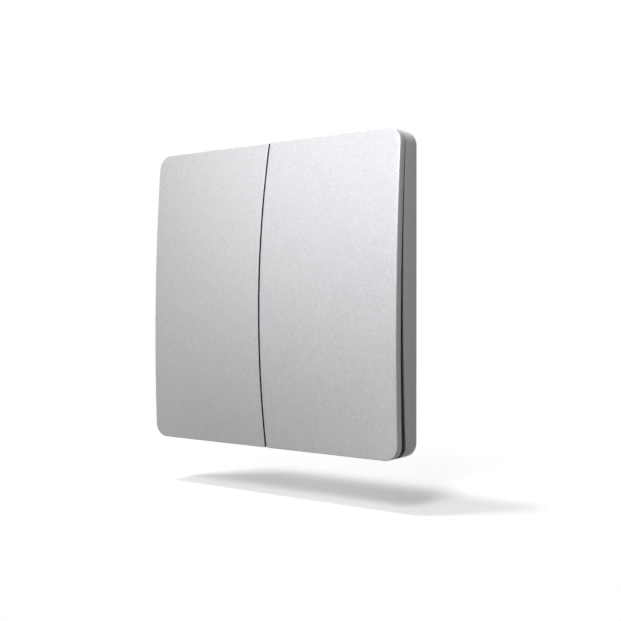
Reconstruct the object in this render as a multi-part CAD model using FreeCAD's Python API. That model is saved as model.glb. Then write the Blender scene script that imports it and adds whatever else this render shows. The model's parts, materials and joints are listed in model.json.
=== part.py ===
import FreeCAD, Part
import math
import os

# Battery wall switch with two crowned keys that hinge near their top edge and are pressed at the bottom.
# Millimetres. X runs to the right seen from the room, Y runs into the wall, Z runs up.
# The origin is the centre of the rear face, which lies on the wall.
# Every "depth" is a distance in front of the wall, so depth d lies at Y = -d.

# Face plate outline, the same for the housing and for the two keys together
PLATE_WIDTH = 86.0
PLATE_HEIGHT = 86.0
CORNER_RADIUS = 4.0

# Crown: the keys swell out over the straight top and bottom edges, more at the middle than at the sides
CENTRE_CROWN = 4.0
SIDE_CROWN = 1.5

# Rear housing
REAR_WALL = 1.6
HOUSING_WALL = 1.6
REAR_CHAMFER = 0.5
STANDOFF_HEIGHT = 1.0
STANDOFF_RADIUS = 2.2
PILLAR_RADIUS = 2.3
PIN_RADIUS = 1.0
PRY_NOTCH_WIDTH = 9.0
PRY_NOTCH_HEIGHT = 1.4

# Wall fixing: two slots at the pitch of a standard wall box, and two bonded strips
SLOT_SPACING = 60.3
SLOT_WIDTH = 4.2
SLOT_LENGTH = 8.0
SLOT_COLLAR = 1.6
SLOT_COLLAR_HEIGHT = 0.6
PAD_WIDTH = 60.0
PAD_HEIGHT = 17.0
PAD_THICKNESS = 0.6
PAD_RISE = 23.0
PAD_CORNER = 2.0
PAD_CLEARANCE = 0.25

# Screws: self-tapping, one kind for the board and a longer one for the carrier
SCREW_RADIUS = 0.95
PILOT_RADIUS = 1.0
SCREW_HEAD_RADIUS = 1.9
SCREW_HEAD_HEIGHT = 0.8
SCREW_TIP_GAP = 0.3
SCREW_HOLE_CLEARANCE = 0.2
SCREW_CROSS_WIDTH = 0.45
SCREW_CROSS_DEPTH = 0.4

# Circuit board
BOARD_THICKNESS = 1.0
BOARD_SIDE_MARGIN = 10.0
BOARD_HEAD = 6.5
BOARD_FOOT = 3.5
BOARD_CORNER = 1.5
BOARD_FIXING_INSET = 4.5
BOARD_NOTCH_RADIUS = 5.6
HEADROOM = 0.2

# Key carrier: the deck that closes the housing and holds the keys' hinges
DECK_THICKNESS = 1.2
CARRIER_CLEARANCE = 0.15
CARRIER_SCREW_SIDE = 6.0
CARRIER_SCREW_END = 13.0
UPSTAND_WALL = 1.0
UPSTAND_GAP = 0.35
UPSTAND_NOTCH = 0.6
DRIVER_HOLE_RADIUS = 4.2
WINDOW_CLEARANCE = 0.6
HOLD_DOWN_RADIUS = 1.4

# Keys
KEY_WALL = 1.2
KEY_BAND = 2.4
KEY_GAP = 0.3
SPLIT_GAP = 0.45
SPLIT_CORNER = 0.4
KEY_EDGE_BEVEL = 0.3
KEY_RIB = 0.9
RIB_ROWS = 3
POCKET_CORNER = 0.8
ROOT_DEPTH = 0.6

# Key hinge and travel: at rest the keys stand out at the bottom, and a press takes back most of that tilt
HINGE_DROP = 5.0
HINGE_INSET = 8.0
LUG_WIDTH = 2.4
LUG_RADIUS = 1.7
ARM_THICKNESS = 1.4
ARM_RADIUS = 1.5
TRUNNION_RADIUS = 0.95
TRUNNION_CLEARANCE = 0.05
HINGE_SIDE_GAP = 0.3
REST_TILT = 1.19
PRESS_ANGLE = 1.0

# Key hooks: they catch behind the deck and set the rest position
HOOK_RISE = 6.6
HOOK_INSET = 12.0
HOOK_WIDTH = 4.0
HOOK_STEM = 1.1
HOOK_BARB_REACH = 0.9
HOOK_BARB_THICKNESS = 0.8
HOOK_GAP = 0.1

# Bumper pads under the keys' stop studs
BUMPER_RADIUS = 2.0
BUMPER_THICKNESS = 0.9
BUMPER_RISE = 4.6
STOP_STUD_RADIUS = 1.5
STOP_GAP = 0.08

# Return springs
SPRING_RISE = 16.0
SPRING_RADIUS = 2.3
SPRING_WIRE = 0.4
SPRING_WIRE_SIDES = 6
SPRING_TURNS = 3.5
SPRING_LENGTH = 4.2
SPRING_END_GAP = 0.1
SPRING_GUIDE_CLEARANCE = 0.35
SPRING_CUP_WALL = 0.8
SPRING_CUP_HEIGHT = 1.2
SPRING_STUD_LENGTH = 1.4

# Push switches
SWITCH_SIZE = 6.0
SWITCH_BODY_HEIGHT = 3.2
SWITCH_COVER = 0.3
SWITCH_FLOOR = 0.8
SWITCH_CAVITY_RADIUS = 2.5
SWITCH_TAB_DROP = 1.4
SWITCH_TAB_WIDTH = 3.0
PLUNGER_RADIUS = 1.7
PLUNGER_CLEARANCE = 0.08
PLUNGER_FLANGE = 0.6
PLUNGER_FLANGE_THICKNESS = 0.5
PLUNGER_REACH = 1.4
PLUNGER_SEAT_GAP = 0.05
PUSHER_RADIUS = 1.5
PUSHER_GAP = 0.1
LEG_WIDTH = 0.7
LEG_THICKNESS = 0.2
LEG_FOOT = 1.2
LEG_RISE = 0.9
LEG_INSET = 0.75

# Coin cell, its holder and its two contacts
CELL_RADIUS = 10.0
CELL_THICKNESS = 3.2
CELL_STEP = 1.3
CELL_STEP_HEIGHT = 0.3
CELL_RISE = 6.0
CELL_EDGE_BEVEL = 0.25
HOLDER_WALL = 1.2
HOLDER_FLOOR = 0.6
HOLDER_HEIGHT = 2.8
HOLDER_CLEARANCE = 0.3
HOLDER_EYE_RADIUS = 4.0
HOLDER_MOUTH = 9.0
CONTACT_THICKNESS = 0.2
CONTACT_WIDTH = 5.0
CONTACT_FINGER = 3.2
CONTACT_FOOT = 1.5

# Radio module, light and small parts of the board
RADIO_WIDTH = 14.0
RADIO_HEIGHT = 11.0
RADIO_GAP = 2.4
RADIO_BOARD = 0.8
SHIELD_MARGIN = 1.0
SHIELD_HEIGHT = 1.6
SHIELD_SHEET = 0.2
LED_GAP = 5.6
LED_WIDTH = 2.0
LED_HEIGHT = 1.25
LED_THICKNESS = 0.7
PIPE_RADIUS = 1.2
PIPE_CLEARANCE = 0.1
PIPE_FLANGE = 0.7
PIPE_FLANGE_THICKNESS = 0.5
PIPE_STAND = 1.3
CHIP_LENGTH = 2.0
CHIP_WIDTH = 1.25
CHIP_THICKNESS = 0.8
CHIP_PITCH = 2.6
CHIP_COUNT = 4
CHIP_GAP = 2.4
CRYSTAL_LENGTH = 3.2
CRYSTAL_WIDTH = 2.5
CRYSTAL_THICKNESS = 0.7

# Stack of depths, from the wall outwards
HALF_WIDTH = PLATE_WIDTH / 2
HALF_HEIGHT = PLATE_HEIGHT / 2
BOARD_REAR = REAR_WALL + STANDOFF_HEIGHT
BOARD_FRONT = BOARD_REAR + BOARD_THICKNESS
DECK_REAR = BOARD_FRONT + SCREW_HEAD_HEIGHT + HEADROOM
DECK_FRONT = DECK_REAR + DECK_THICKNESS
RIM_DEPTH = DECK_FRONT
KEY_REAR = RIM_DEPTH + KEY_GAP
KEY_FRONT = KEY_REAR + KEY_BAND
KEY_INNER = KEY_FRONT - KEY_WALL
SWITCH_TOP = BOARD_FRONT + SWITCH_BODY_HEIGHT
COVER_TOP = SWITCH_TOP + SWITCH_COVER
PLUNGER_TOP = COVER_TOP + PLUNGER_REACH
HOLDER_TOP = BOARD_FRONT + HOLDER_HEIGHT
CELL_REAR = BOARD_FRONT + HOLDER_FLOOR + CONTACT_THICKNESS
CELL_FRONT = CELL_REAR + CELL_THICKNESS

# Shared places
KEY_LEFT = SPLIT_GAP / 2
KEY_MIDDLE = (KEY_LEFT + HALF_WIDTH) / 2
HINGE_Z = HALF_HEIGHT - HINGE_DROP
HINGE_DEPTH = (DECK_REAR + DECK_FRONT) / 2
RIB_PITCH = (PLATE_HEIGHT - 2 * KEY_WALL + KEY_RIB) / RIB_ROWS
SWITCH_Z = -RIB_PITCH / 2
HOOK_Z = -HALF_HEIGHT + HOOK_RISE
BUMPER_Z = -HALF_HEIGHT + BUMPER_RISE
SPRING_Z = -HALF_HEIGHT + SPRING_RISE
BOARD_HALF_WIDTH = HALF_WIDTH - BOARD_SIDE_MARGIN
HOLDER_RADIUS = CELL_RADIUS + HOLDER_CLEARANCE + HOLDER_WALL
RADIO_Z = CELL_RISE - HOLDER_RADIUS - RADIO_GAP - RADIO_HEIGHT / 2
LED_Z = RADIO_Z - RADIO_HEIGHT / 2 - LED_GAP
BOARD_TOP = CELL_RISE + HOLDER_RADIUS + BOARD_HEAD
BOARD_BOTTOM = LED_Z - BOARD_FOOT
SIDES = (-1, 1)


# Plain solids

def point(x, depth, z):
    return FreeCAD.Vector(x, -depth, z)


def block(x0, x1, z0, z1, rear, front):
    return Part.makeBox(x1 - x0, front - rear, z1 - z0, point(x0, front, z0))


def disc(x, z, radius, rear, front):
    """Round post or hole that runs straight out from the wall."""
    return Part.makeCylinder(radius, front - rear, point(x, rear, z), FreeCAD.Vector(0, -1, 0))


def rod(x0, x1, z, depth, radius):
    """Round bar along X."""
    low = min(x0, x1)
    return Part.makeCylinder(radius, abs(x1 - x0), point(low, depth, z), FreeCAD.Vector(1, 0, 0))


def centred_plate(reach_x, reach_z, rear, front, radius):
    """Plate parallel to the wall and centred on the origin, with all four corners rounded."""
    return rounded_plate(-reach_x, reach_x, -reach_z, reach_z, rear, front, radius, radius)


def rounded_plate(x0, x1, z0, z1, rear, front, left_radius, right_radius):
    """Plate parallel to the wall, with its left and right corners rounded."""
    corners = (
        (x0, z0, -1, -1, left_radius),
        (x1, z0, 1, -1, right_radius),
        (x1, z1, 1, 1, right_radius),
        (x0, z1, -1, 1, left_radius),
    )
    turns = []
    for x, z, sx, sz, radius in corners:
        cx = x - sx * radius
        cz = z - sz * radius
        diagonal = radius * math.sqrt(0.5)
        across = point(x, front, cz)
        along = point(cx, front, z)
        middle = point(cx + sx * diagonal, front, cz + sz * diagonal)
        ends = (along, across) if sx * sz < 0 else (across, along)
        turns.append((ends[0], middle, ends[1]))
    edges = []
    for index, (start, middle, end) in enumerate(turns):
        edges.append(Part.Arc(start, middle, end).toShape())
        edges.append(Part.LineSegment(end, turns[(index + 1) % len(turns)][0]).toShape())
    return Part.Face(Part.Wire(edges)).extrude(FreeCAD.Vector(0, front - rear, 0))


def slot(x, z, width, length, rear, front):
    """Round-ended slot that runs along X."""
    radius = width / 2
    reach = length / 2 - radius
    shape = block(x - reach, x + reach, z - radius, z + radius, rear, front)
    return shape.multiFuse([disc(x + side * reach, z, radius, rear, front) for side in SIDES])


def profile_along_x(corners, x0, x1):
    """Straight-sided section given as (depth, height) corners, drawn along X."""
    vectors = [point(x0, depth, z) for depth, z in corners]
    vectors.append(vectors[0])
    return Part.Face(Part.makePolygon(vectors)).extrude(FreeCAD.Vector(x1 - x0, 0, 0))


def merged(shape, additions):
    return shape.multiFuse(additions).removeSplitter()


def mirrored(shape):
    return shape.mirror(FreeCAD.Vector(0, 0, 0), FreeCAD.Vector(1, 0, 0))


# Crown

def crown_slab(edge_depth, centre_rise, side_rise, thickness):
    """Solid under a crowned surface, of even thickness along Y.

    The surface lies at edge_depth along the top and bottom edges of the plate. Between them it rises as a
    parabola, by centre_rise at the middle of the plate and by side_rise at its two sides. A surface of second
    degree both ways holds that exactly, and it is made a little larger than the plate.
    """
    over = 1.1
    reach_x = HALF_WIDTH * over
    reach_z = HALF_HEIGHT * over
    fall = (centre_rise - side_rise) * over ** 2
    rises = (centre_rise - fall, centre_rise + fall, centre_rise - fall)
    shares = (1 - over ** 2, 1 + over ** 2, 1 - over ** 2)
    surface = Part.BezierSurface()
    surface.increase(2, 2)
    for i in range(3):
        for j in range(3):
            depth = edge_depth + rises[i] * shares[j]
            surface.setPole(i + 1, j + 1, point((i - 1) * reach_x, depth, (j - 1) * reach_z))
    return surface.toShape().extrude(FreeCAD.Vector(0, thickness, 0))


def crown_rise(x, z):
    side_share = (x / HALF_WIDTH) ** 2
    rise = CENTRE_CROWN - (CENTRE_CROWN - SIDE_CROWN) * side_share
    return rise * (1 - (z / HALF_HEIGHT) ** 2)


def key_root(x, z):
    """Depth inside the closed key's wall, where a stud or arm on its rear takes root."""
    return KEY_INNER + crown_rise(x, z) + ROOT_DEPTH


# Key travel

def closed_depth(depth, z, tilt):
    """Depth in the closed key of what lies at this depth and height once the key is tilted out."""
    angle = math.radians(tilt)
    drop = HINGE_Z - z
    return HINGE_DEPTH + ((depth - HINGE_DEPTH) - drop * math.sin(angle)) / math.cos(angle)


def tilted_out(shape):
    turned = shape.copy()
    turned.rotate(point(0, HINGE_DEPTH, HINGE_Z), FreeCAD.Vector(1, 0, 0), -REST_TILT)
    return turned


# Keys, modelled closed and then tilted out to their rest position

def hinge_places():
    """Centre of each hinge lug of the right key, with the side of the lug that the key's arm lies on."""
    return ((KEY_LEFT + HINGE_INSET, 1), (HALF_WIDTH - HINGE_INSET, -1))


def hook_places():
    return (KEY_LEFT + HOOK_INSET, HALF_WIDTH - HOOK_INSET)


def key_shell():
    plate = rounded_plate(
        KEY_LEFT, HALF_WIDTH, -HALF_HEIGHT, HALF_HEIGHT,
        0, KEY_FRONT + 2 * CENTRE_CROWN, SPLIT_CORNER, CORNER_RADIUS,
    )
    shell = plate.common(crown_slab(KEY_FRONT, CENTRE_CROWN, SIDE_CROWN, KEY_BAND))
    front = min(shell.Faces, key=lambda face: face.CenterOfMass.y)
    return shell.makeChamfer(KEY_EDGE_BEVEL, front.Edges)


def key_pockets():
    """Hollows of the key's rear: two columns of three, with ribs between them."""
    left = KEY_LEFT + KEY_WALL
    right = HALF_WIDTH - KEY_WALL
    bottom = -HALF_HEIGHT + KEY_WALL
    width = (right - left - KEY_RIB) / 2
    height = RIB_PITCH - KEY_RIB
    high = KEY_FRONT + CENTRE_CROWN
    hollow = rounded_plate(left, right, bottom, -bottom, 0, high, POCKET_CORNER, CORNER_RADIUS - KEY_WALL)
    hollow = hollow.common(crown_slab(KEY_INNER, CENTRE_CROWN, SIDE_CROWN, KEY_BAND))
    pockets = []
    for column in range(2):
        x0 = left + column * (width + KEY_RIB)
        for row in range(RIB_ROWS):
            z0 = bottom + row * RIB_PITCH
            plate = rounded_plate(x0, x0 + width, z0, z0 + height, 0, high, POCKET_CORNER, POCKET_CORNER)
            pockets.append(plate.common(hollow))
    return pockets


def key_arm(lug_x, side):
    """Arm that reaches through the deck, with the trunnion that turns in the carrier's lug."""
    near = lug_x + side * (LUG_WIDTH / 2 + HINGE_SIDE_GAP)
    far = near + side * ARM_THICKNESS
    root = key_root(lug_x, HINGE_Z)
    arm = block(min(near, far), max(near, far), HINGE_Z - ARM_RADIUS, HINGE_Z + ARM_RADIUS, HINGE_DEPTH, root)
    end = rod(near, far, HINGE_Z, HINGE_DEPTH, ARM_RADIUS)
    tip = lug_x - side * (LUG_WIDTH / 2 - HINGE_SIDE_GAP)
    trunnion = rod(tip, far, HINGE_Z, HINGE_DEPTH, TRUNNION_RADIUS)
    return arm.multiFuse([end, trunnion])


def key_hook(x):
    """Snap hook near the bottom edge. Its barb is held behind the deck at rest."""
    catch = closed_depth(DECK_REAR - HOOK_GAP, HOOK_Z, REST_TILT)
    tip = catch - HOOK_BARB_THICKNESS
    top = HOOK_Z + HOOK_STEM
    section = (
        (key_root(x, HOOK_Z), top),
        (tip, top),
        (tip, HOOK_Z),
        (catch - HOOK_BARB_THICKNESS / 2, HOOK_Z - HOOK_BARB_REACH),
        (catch, HOOK_Z - HOOK_BARB_REACH),
        (catch, HOOK_Z),
        (key_root(x, HOOK_Z), HOOK_Z),
    )
    return profile_along_x(section, x - HOOK_WIDTH / 2, x + HOOK_WIDTH / 2)


def key_studs():
    """Pusher over the switch, seat and guide of the spring, and stop over the bumper pad."""
    pusher_tip = closed_depth(PLUNGER_TOP + PUSHER_GAP, SWITCH_Z, REST_TILT)
    pusher = disc(KEY_MIDDLE, SWITCH_Z, PUSHER_RADIUS, pusher_tip, key_root(KEY_MIDDLE, SWITCH_Z))
    seat_depth = closed_depth(DECK_FRONT + SPRING_LENGTH + SPRING_END_GAP, SPRING_Z, REST_TILT)
    seat_radius = SPRING_RADIUS + SPRING_WIRE
    seat = disc(KEY_MIDDLE, SPRING_Z, seat_radius, seat_depth, key_root(KEY_MIDDLE, SPRING_Z))
    guide_radius = SPRING_RADIUS - SPRING_WIRE / 2 - SPRING_GUIDE_CLEARANCE
    guide = disc(KEY_MIDDLE, SPRING_Z, guide_radius, seat_depth - SPRING_STUD_LENGTH, seat_depth)
    stop_tip = closed_depth(DECK_FRONT + BUMPER_THICKNESS + STOP_GAP, BUMPER_Z, REST_TILT - PRESS_ANGLE)
    stop = disc(KEY_MIDDLE, BUMPER_Z, STOP_STUD_RADIUS, stop_tip, key_root(KEY_MIDDLE, BUMPER_Z))
    return [pusher, seat, guide, stop]


def spring_room():
    """Space in the ribs for the end of the spring, round the guide and behind the seat."""
    radius = SPRING_RADIUS + SPRING_WIRE / 2 + SPRING_GUIDE_CLEARANCE
    seat_depth = closed_depth(DECK_FRONT + SPRING_LENGTH + SPRING_END_GAP, SPRING_Z, REST_TILT)
    return disc(KEY_MIDDLE, SPRING_Z, radius, 0, seat_depth)


def right_key():
    shell = key_shell().cut(key_pockets() + [spring_room()])
    arms = [key_arm(x, side) for x, side in hinge_places()]
    hooks = [key_hook(x) for x in hook_places()]
    return tilted_out(merged(shell, arms + hooks + key_studs()))


# Rear housing

def carrier_screw_places():
    return [
        (side_x * (HALF_WIDTH - CARRIER_SCREW_SIDE), side_z * (HALF_HEIGHT - CARRIER_SCREW_END))
        for side_x in SIDES
        for side_z in SIDES
    ]


def board_screw_places():
    z = BOARD_TOP - BOARD_FIXING_INSET
    return [(side * (BOARD_HALF_WIDTH - BOARD_FIXING_INSET), z) for side in SIDES]


def board_pin_places():
    z = BOARD_BOTTOM + BOARD_FIXING_INSET
    return [(side * (BOARD_HALF_WIDTH - BOARD_FIXING_INSET), z) for side in SIDES]


def pad_plates(clearance):
    half_width = PAD_WIDTH / 2 - clearance
    half_height = PAD_HEIGHT / 2 - clearance
    radius = PAD_CORNER - clearance
    return [
        rounded_plate(
            -half_width, half_width, side * PAD_RISE - half_height, side * PAD_RISE + half_height,
            0, PAD_THICKNESS, radius, radius,
        )
        for side in SIDES
    ]


def rear_housing():
    high = RIM_DEPTH + 2 * CENTRE_CROWN
    tray = centred_plate(HALF_WIDTH, HALF_HEIGHT, 0, high, CORNER_RADIUS)
    inner_x = HALF_WIDTH - HOUSING_WALL
    inner_z = HALF_HEIGHT - HOUSING_WALL
    hollow = centred_plate(inner_x, inner_z, REAR_WALL, high, CORNER_RADIUS - HOUSING_WALL)
    above_rim = crown_slab(RIM_DEPTH + high, SIDE_CROWN, SIDE_CROWN, high)
    rear_edges = [edge for edge in tray.Edges if edge.BoundBox.YMin > -REAR_CHAMFER]
    tray = tray.makeChamfer(REAR_CHAMFER, rear_edges).cut([hollow, above_rim])

    pillars = [disc(x, z, PILLAR_RADIUS, REAR_WALL / 2, DECK_REAR) for x, z in carrier_screw_places()]
    standoffs = [
        disc(x, z, STANDOFF_RADIUS, REAR_WALL / 2, BOARD_REAR)
        for x, z in board_screw_places() + board_pin_places()
    ]
    pins = [disc(x, z, PIN_RADIUS, REAR_WALL, BOARD_FRONT) for x, z in board_pin_places()]
    collars = [
        slot(
            side * SLOT_SPACING / 2, 0, SLOT_WIDTH + 2 * SLOT_COLLAR, SLOT_LENGTH + 2 * SLOT_COLLAR,
            REAR_WALL / 2, REAR_WALL + SLOT_COLLAR_HEIGHT,
        )
        for side in SIDES
    ]
    tray = merged(tray, pillars + standoffs + pins + collars)

    slots = [slot(side * SLOT_SPACING / 2, 0, SLOT_WIDTH, SLOT_LENGTH, -1, high) for side in SIDES]
    screw_places = carrier_screw_places() + board_screw_places()
    pilots = [disc(x, z, PILOT_RADIUS, REAR_WALL / 2, high) for x, z in screw_places]
    notch_half = PRY_NOTCH_WIDTH / 2
    notch_root = -HALF_HEIGHT + HOUSING_WALL / 2
    notch = block(
        -notch_half, notch_half, notch_root - 2 * HOUSING_WALL, notch_root,
        RIM_DEPTH - PRY_NOTCH_HEIGHT, high,
    )
    return tray.cut(slots + pilots + pad_plates(0) + [notch])


# Key carrier

def hinge_lug(x):
    return rod(x - LUG_WIDTH / 2, x + LUG_WIDTH / 2, HINGE_Z, HINGE_DEPTH, LUG_RADIUS)


def spring_cup(x):
    inner = SPRING_RADIUS + SPRING_WIRE / 2 + SPRING_GUIDE_CLEARANCE
    outer = inner + SPRING_CUP_WALL
    top = DECK_FRONT + SPRING_CUP_HEIGHT
    wall = disc(x, SPRING_Z, outer, DECK_FRONT - DECK_THICKNESS / 2, top)
    return wall.cut(disc(x, SPRING_Z, inner, DECK_FRONT, top))


def upstand(reach_x, reach_z, radius):
    """Wall round the deck, just inside the keys' band, which closes the view into the gap.

    Its top follows the crown, and it is notched where the keys' ribs and split walls pass over it.
    """
    high = KEY_INNER + CENTRE_CROWN
    root = DECK_FRONT - DECK_THICKNESS / 2
    inner_x = reach_x - UPSTAND_WALL
    inner_z = reach_z - UPSTAND_WALL
    outer = centred_plate(reach_x, reach_z, root, high, radius)
    inner = centred_plate(inner_x, inner_z, root, high, radius - UPSTAND_WALL)
    wall = outer.cut(inner).common(crown_slab(KEY_INNER - UPSTAND_GAP, CENTRE_CROWN, SIDE_CROWN, high))
    rib_half = KEY_RIB / 2 + UPSTAND_NOTCH
    split_half = KEY_LEFT + KEY_WALL + UPSTAND_NOTCH
    notches = [block(-split_half, split_half, -HALF_HEIGHT, HALF_HEIGHT, DECK_FRONT, high)]
    for side in SIDES:
        x = side * KEY_MIDDLE
        z = side * RIB_PITCH / 2
        notches.append(block(x - rib_half, x + rib_half, -HALF_HEIGHT, HALF_HEIGHT, DECK_FRONT, high))
        notches.append(block(-HALF_WIDTH, HALF_WIDTH, z - rib_half, z + rib_half, DECK_FRONT, high))
    return wall.cut(notches)


def carrier_windows(side):
    """Openings of the deck on one side, for the key's arms and hooks, the switch and the wall screw."""
    below = REAR_WALL
    above = DECK_FRONT + DECK_THICKNESS
    windows = []
    for lug_x, arm_side in hinge_places():
        near = lug_x + arm_side * LUG_WIDTH / 2
        far = near + arm_side * (HINGE_SIDE_GAP + ARM_THICKNESS + WINDOW_CLEARANCE)
        reach = ARM_RADIUS + WINDOW_CLEARANCE
        windows.append(block(min(near, far), max(near, far), HINGE_Z - reach, HINGE_Z + reach, below, above))
    for x in hook_places():
        half = HOOK_WIDTH / 2 + WINDOW_CLEARANCE
        top = HOOK_Z + HOOK_STEM + WINDOW_CLEARANCE
        windows.append(block(x - half, x + half, HOOK_Z - HOOK_BARB_REACH / 3, top, below, above))
    x = KEY_MIDDLE
    half = SWITCH_SIZE / 2 + SWITCH_COVER + WINDOW_CLEARANCE
    windows.append(block(x - half, x + half, SWITCH_Z - half, SWITCH_Z + half, below, above))
    windows.append(disc(SLOT_SPACING / 2, 0, DRIVER_HOLE_RADIUS, below, above))
    return [mirrored(window) if side < 0 else window for window in windows]


def key_carrier():
    reach_x = HALF_WIDTH - HOUSING_WALL - CARRIER_CLEARANCE
    reach_z = HALF_HEIGHT - HOUSING_WALL - CARRIER_CLEARANCE
    radius = CORNER_RADIUS - HOUSING_WALL - CARRIER_CLEARANCE
    deck = centred_plate(reach_x, reach_z, DECK_REAR, DECK_FRONT, radius)
    above = DECK_FRONT + DECK_THICKNESS
    holes = [disc(0, CELL_RISE, HOLDER_RADIUS + 2 * CONTACT_THICKNESS + WINDOW_CLEARANCE, REAR_WALL, above)]
    radio_x = RADIO_WIDTH / 2 + WINDOW_CLEARANCE
    radio_z = RADIO_HEIGHT / 2 + WINDOW_CLEARANCE
    holes.append(block(-radio_x, radio_x, RADIO_Z - radio_z, RADIO_Z + radio_z, REAR_WALL, above))
    holes.append(disc(0, LED_Z, PIPE_RADIUS + PIPE_CLEARANCE, REAR_WALL, above))
    for x, z in carrier_screw_places():
        holes.append(disc(x, z, SCREW_RADIUS + SCREW_HOLE_CLEARANCE, REAR_WALL, above))
    for side in SIDES:
        holes.extend(carrier_windows(side))
    deck = deck.cut(holes)

    lugs = [hinge_lug(side * x) for side in SIDES for x, _ in hinge_places()]
    cups = [spring_cup(side * KEY_MIDDLE) for side in SIDES]
    hold_downs = [disc(x, z, HOLD_DOWN_RADIUS, BOARD_FRONT, DECK_FRONT) for x, z in board_pin_places()]
    deck = merged(deck, lugs + cups + hold_downs + [upstand(reach_x, reach_z, radius)])
    bore = rod(-HALF_WIDTH, HALF_WIDTH, HINGE_Z, HINGE_DEPTH, TRUNNION_RADIUS + TRUNNION_CLEARANCE)
    bores = []
    for lug in lugs:
        box = lug.BoundBox
        reach = block(box.XMin, box.XMax, box.ZMin, box.ZMax, 0, above + LUG_RADIUS)
        bores.append(bore.common(reach))
    return deck.cut(bores)


# Screws

def screw(x, z, seat, length):
    """Pan-head screw whose head stands on the seat depth, with a cross recess."""
    top = seat + SCREW_HEAD_HEIGHT
    shape = disc(x, z, SCREW_HEAD_RADIUS, seat, top).fuse(disc(x, z, SCREW_RADIUS, seat - length, seat))
    arm = SCREW_HEAD_RADIUS / 2
    half = SCREW_CROSS_WIDTH / 2
    upright = block(x - half, x + half, z - arm, z + arm, top - SCREW_CROSS_DEPTH, top)
    level = block(x - arm, x + arm, z - half, z + half, top - SCREW_CROSS_DEPTH, top)
    return shape.cut([upright, level]).removeSplitter()


def screw_set(places, seat):
    length = seat - REAR_WALL / 2 - SCREW_TIP_GAP
    return Part.makeCompound([screw(x, z, seat, length) for x, z in places])


# Circuit board and what it carries

def circuit_board():
    board = rounded_plate(
        -BOARD_HALF_WIDTH, BOARD_HALF_WIDTH, BOARD_BOTTOM, BOARD_TOP,
        BOARD_REAR, BOARD_FRONT, BOARD_CORNER, BOARD_CORNER,
    )
    cuts = []
    for side in SIDES:
        centre = side * SLOT_SPACING / 2
        edge = side * HALF_WIDTH
        cuts.append(disc(centre, 0, BOARD_NOTCH_RADIUS, 0, RIM_DEPTH))
        cuts.append(
            block(min(centre, edge), max(centre, edge), -BOARD_NOTCH_RADIUS, BOARD_NOTCH_RADIUS, 0, RIM_DEPTH)
        )
    for x, z in board_screw_places():
        cuts.append(disc(x, z, SCREW_RADIUS + SCREW_HOLE_CLEARANCE, 0, RIM_DEPTH))
    for x, z in board_pin_places():
        cuts.append(disc(x, z, PIN_RADIUS + PIPE_CLEARANCE, 0, RIM_DEPTH))
    return board.cut(cuts)


def switch_body(x):
    half = SWITCH_SIZE / 2
    body = block(x - half, x + half, SWITCH_Z - half, SWITCH_Z + half, BOARD_FRONT, SWITCH_TOP)
    return body.cut(disc(x, SWITCH_Z, SWITCH_CAVITY_RADIUS, BOARD_FRONT + SWITCH_FLOOR, SWITCH_TOP))


def switch_cover(x):
    """Steel plate over the switch body, with a tab bent down over its top and bottom side."""
    half = SWITCH_SIZE / 2
    plate = block(x - half, x + half, SWITCH_Z - half, SWITCH_Z + half, SWITCH_TOP, COVER_TOP)
    tabs = []
    for side in SIDES:
        inner = SWITCH_Z + side * half
        outer = inner + side * SWITCH_COVER
        tab_half = SWITCH_TAB_WIDTH / 2
        tabs.append(
            block(x - tab_half, x + tab_half, min(inner, outer), max(inner, outer),
                  SWITCH_TOP - SWITCH_TAB_DROP, COVER_TOP)
        )
    hole = disc(x, SWITCH_Z, PLUNGER_RADIUS + PLUNGER_CLEARANCE, SWITCH_TOP, COVER_TOP)
    return merged(plate, tabs).cut(hole)


def plunger(x):
    flange_top = SWITCH_TOP - PLUNGER_SEAT_GAP
    flange_radius = PLUNGER_RADIUS + PLUNGER_FLANGE
    flange = disc(x, SWITCH_Z, flange_radius, flange_top - PLUNGER_FLANGE_THICKNESS, flange_top)
    return flange.fuse(disc(x, SWITCH_Z, PLUNGER_RADIUS, flange_top, PLUNGER_TOP))


def switch_legs(x):
    """Four formed legs that stand on the board beside the switch body."""
    legs = []
    for side_x in SIDES:
        face = x + side_x * SWITCH_SIZE / 2
        riser = face + side_x * LEG_THICKNESS
        toe = face + side_x * LEG_FOOT
        for side_z in SIDES:
            z0 = SWITCH_Z + side_z * (SWITCH_SIZE / 2 - LEG_INSET) - LEG_WIDTH / 2
            z1 = z0 + LEG_WIDTH
            upright = block(min(face, riser), max(face, riser), z0, z1, BOARD_FRONT, BOARD_FRONT + LEG_RISE)
            foot = block(min(face, toe), max(face, toe), z0, z1, BOARD_FRONT, BOARD_FRONT + LEG_THICKNESS)
            legs.append(merged(upright, [foot]))
    return Part.makeCompound(legs)


def coin_cell():
    can = disc(0, CELL_RISE, CELL_RADIUS, CELL_REAR + CELL_STEP_HEIGHT, CELL_FRONT)
    can = can.makeChamfer(CELL_EDGE_BEVEL, [edge for edge in can.Edges if edge.Closed])
    return can.fuse(disc(0, CELL_RISE, CELL_RADIUS - CELL_STEP, CELL_REAR, CELL_REAR + CELL_STEP_HEIGHT))


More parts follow.
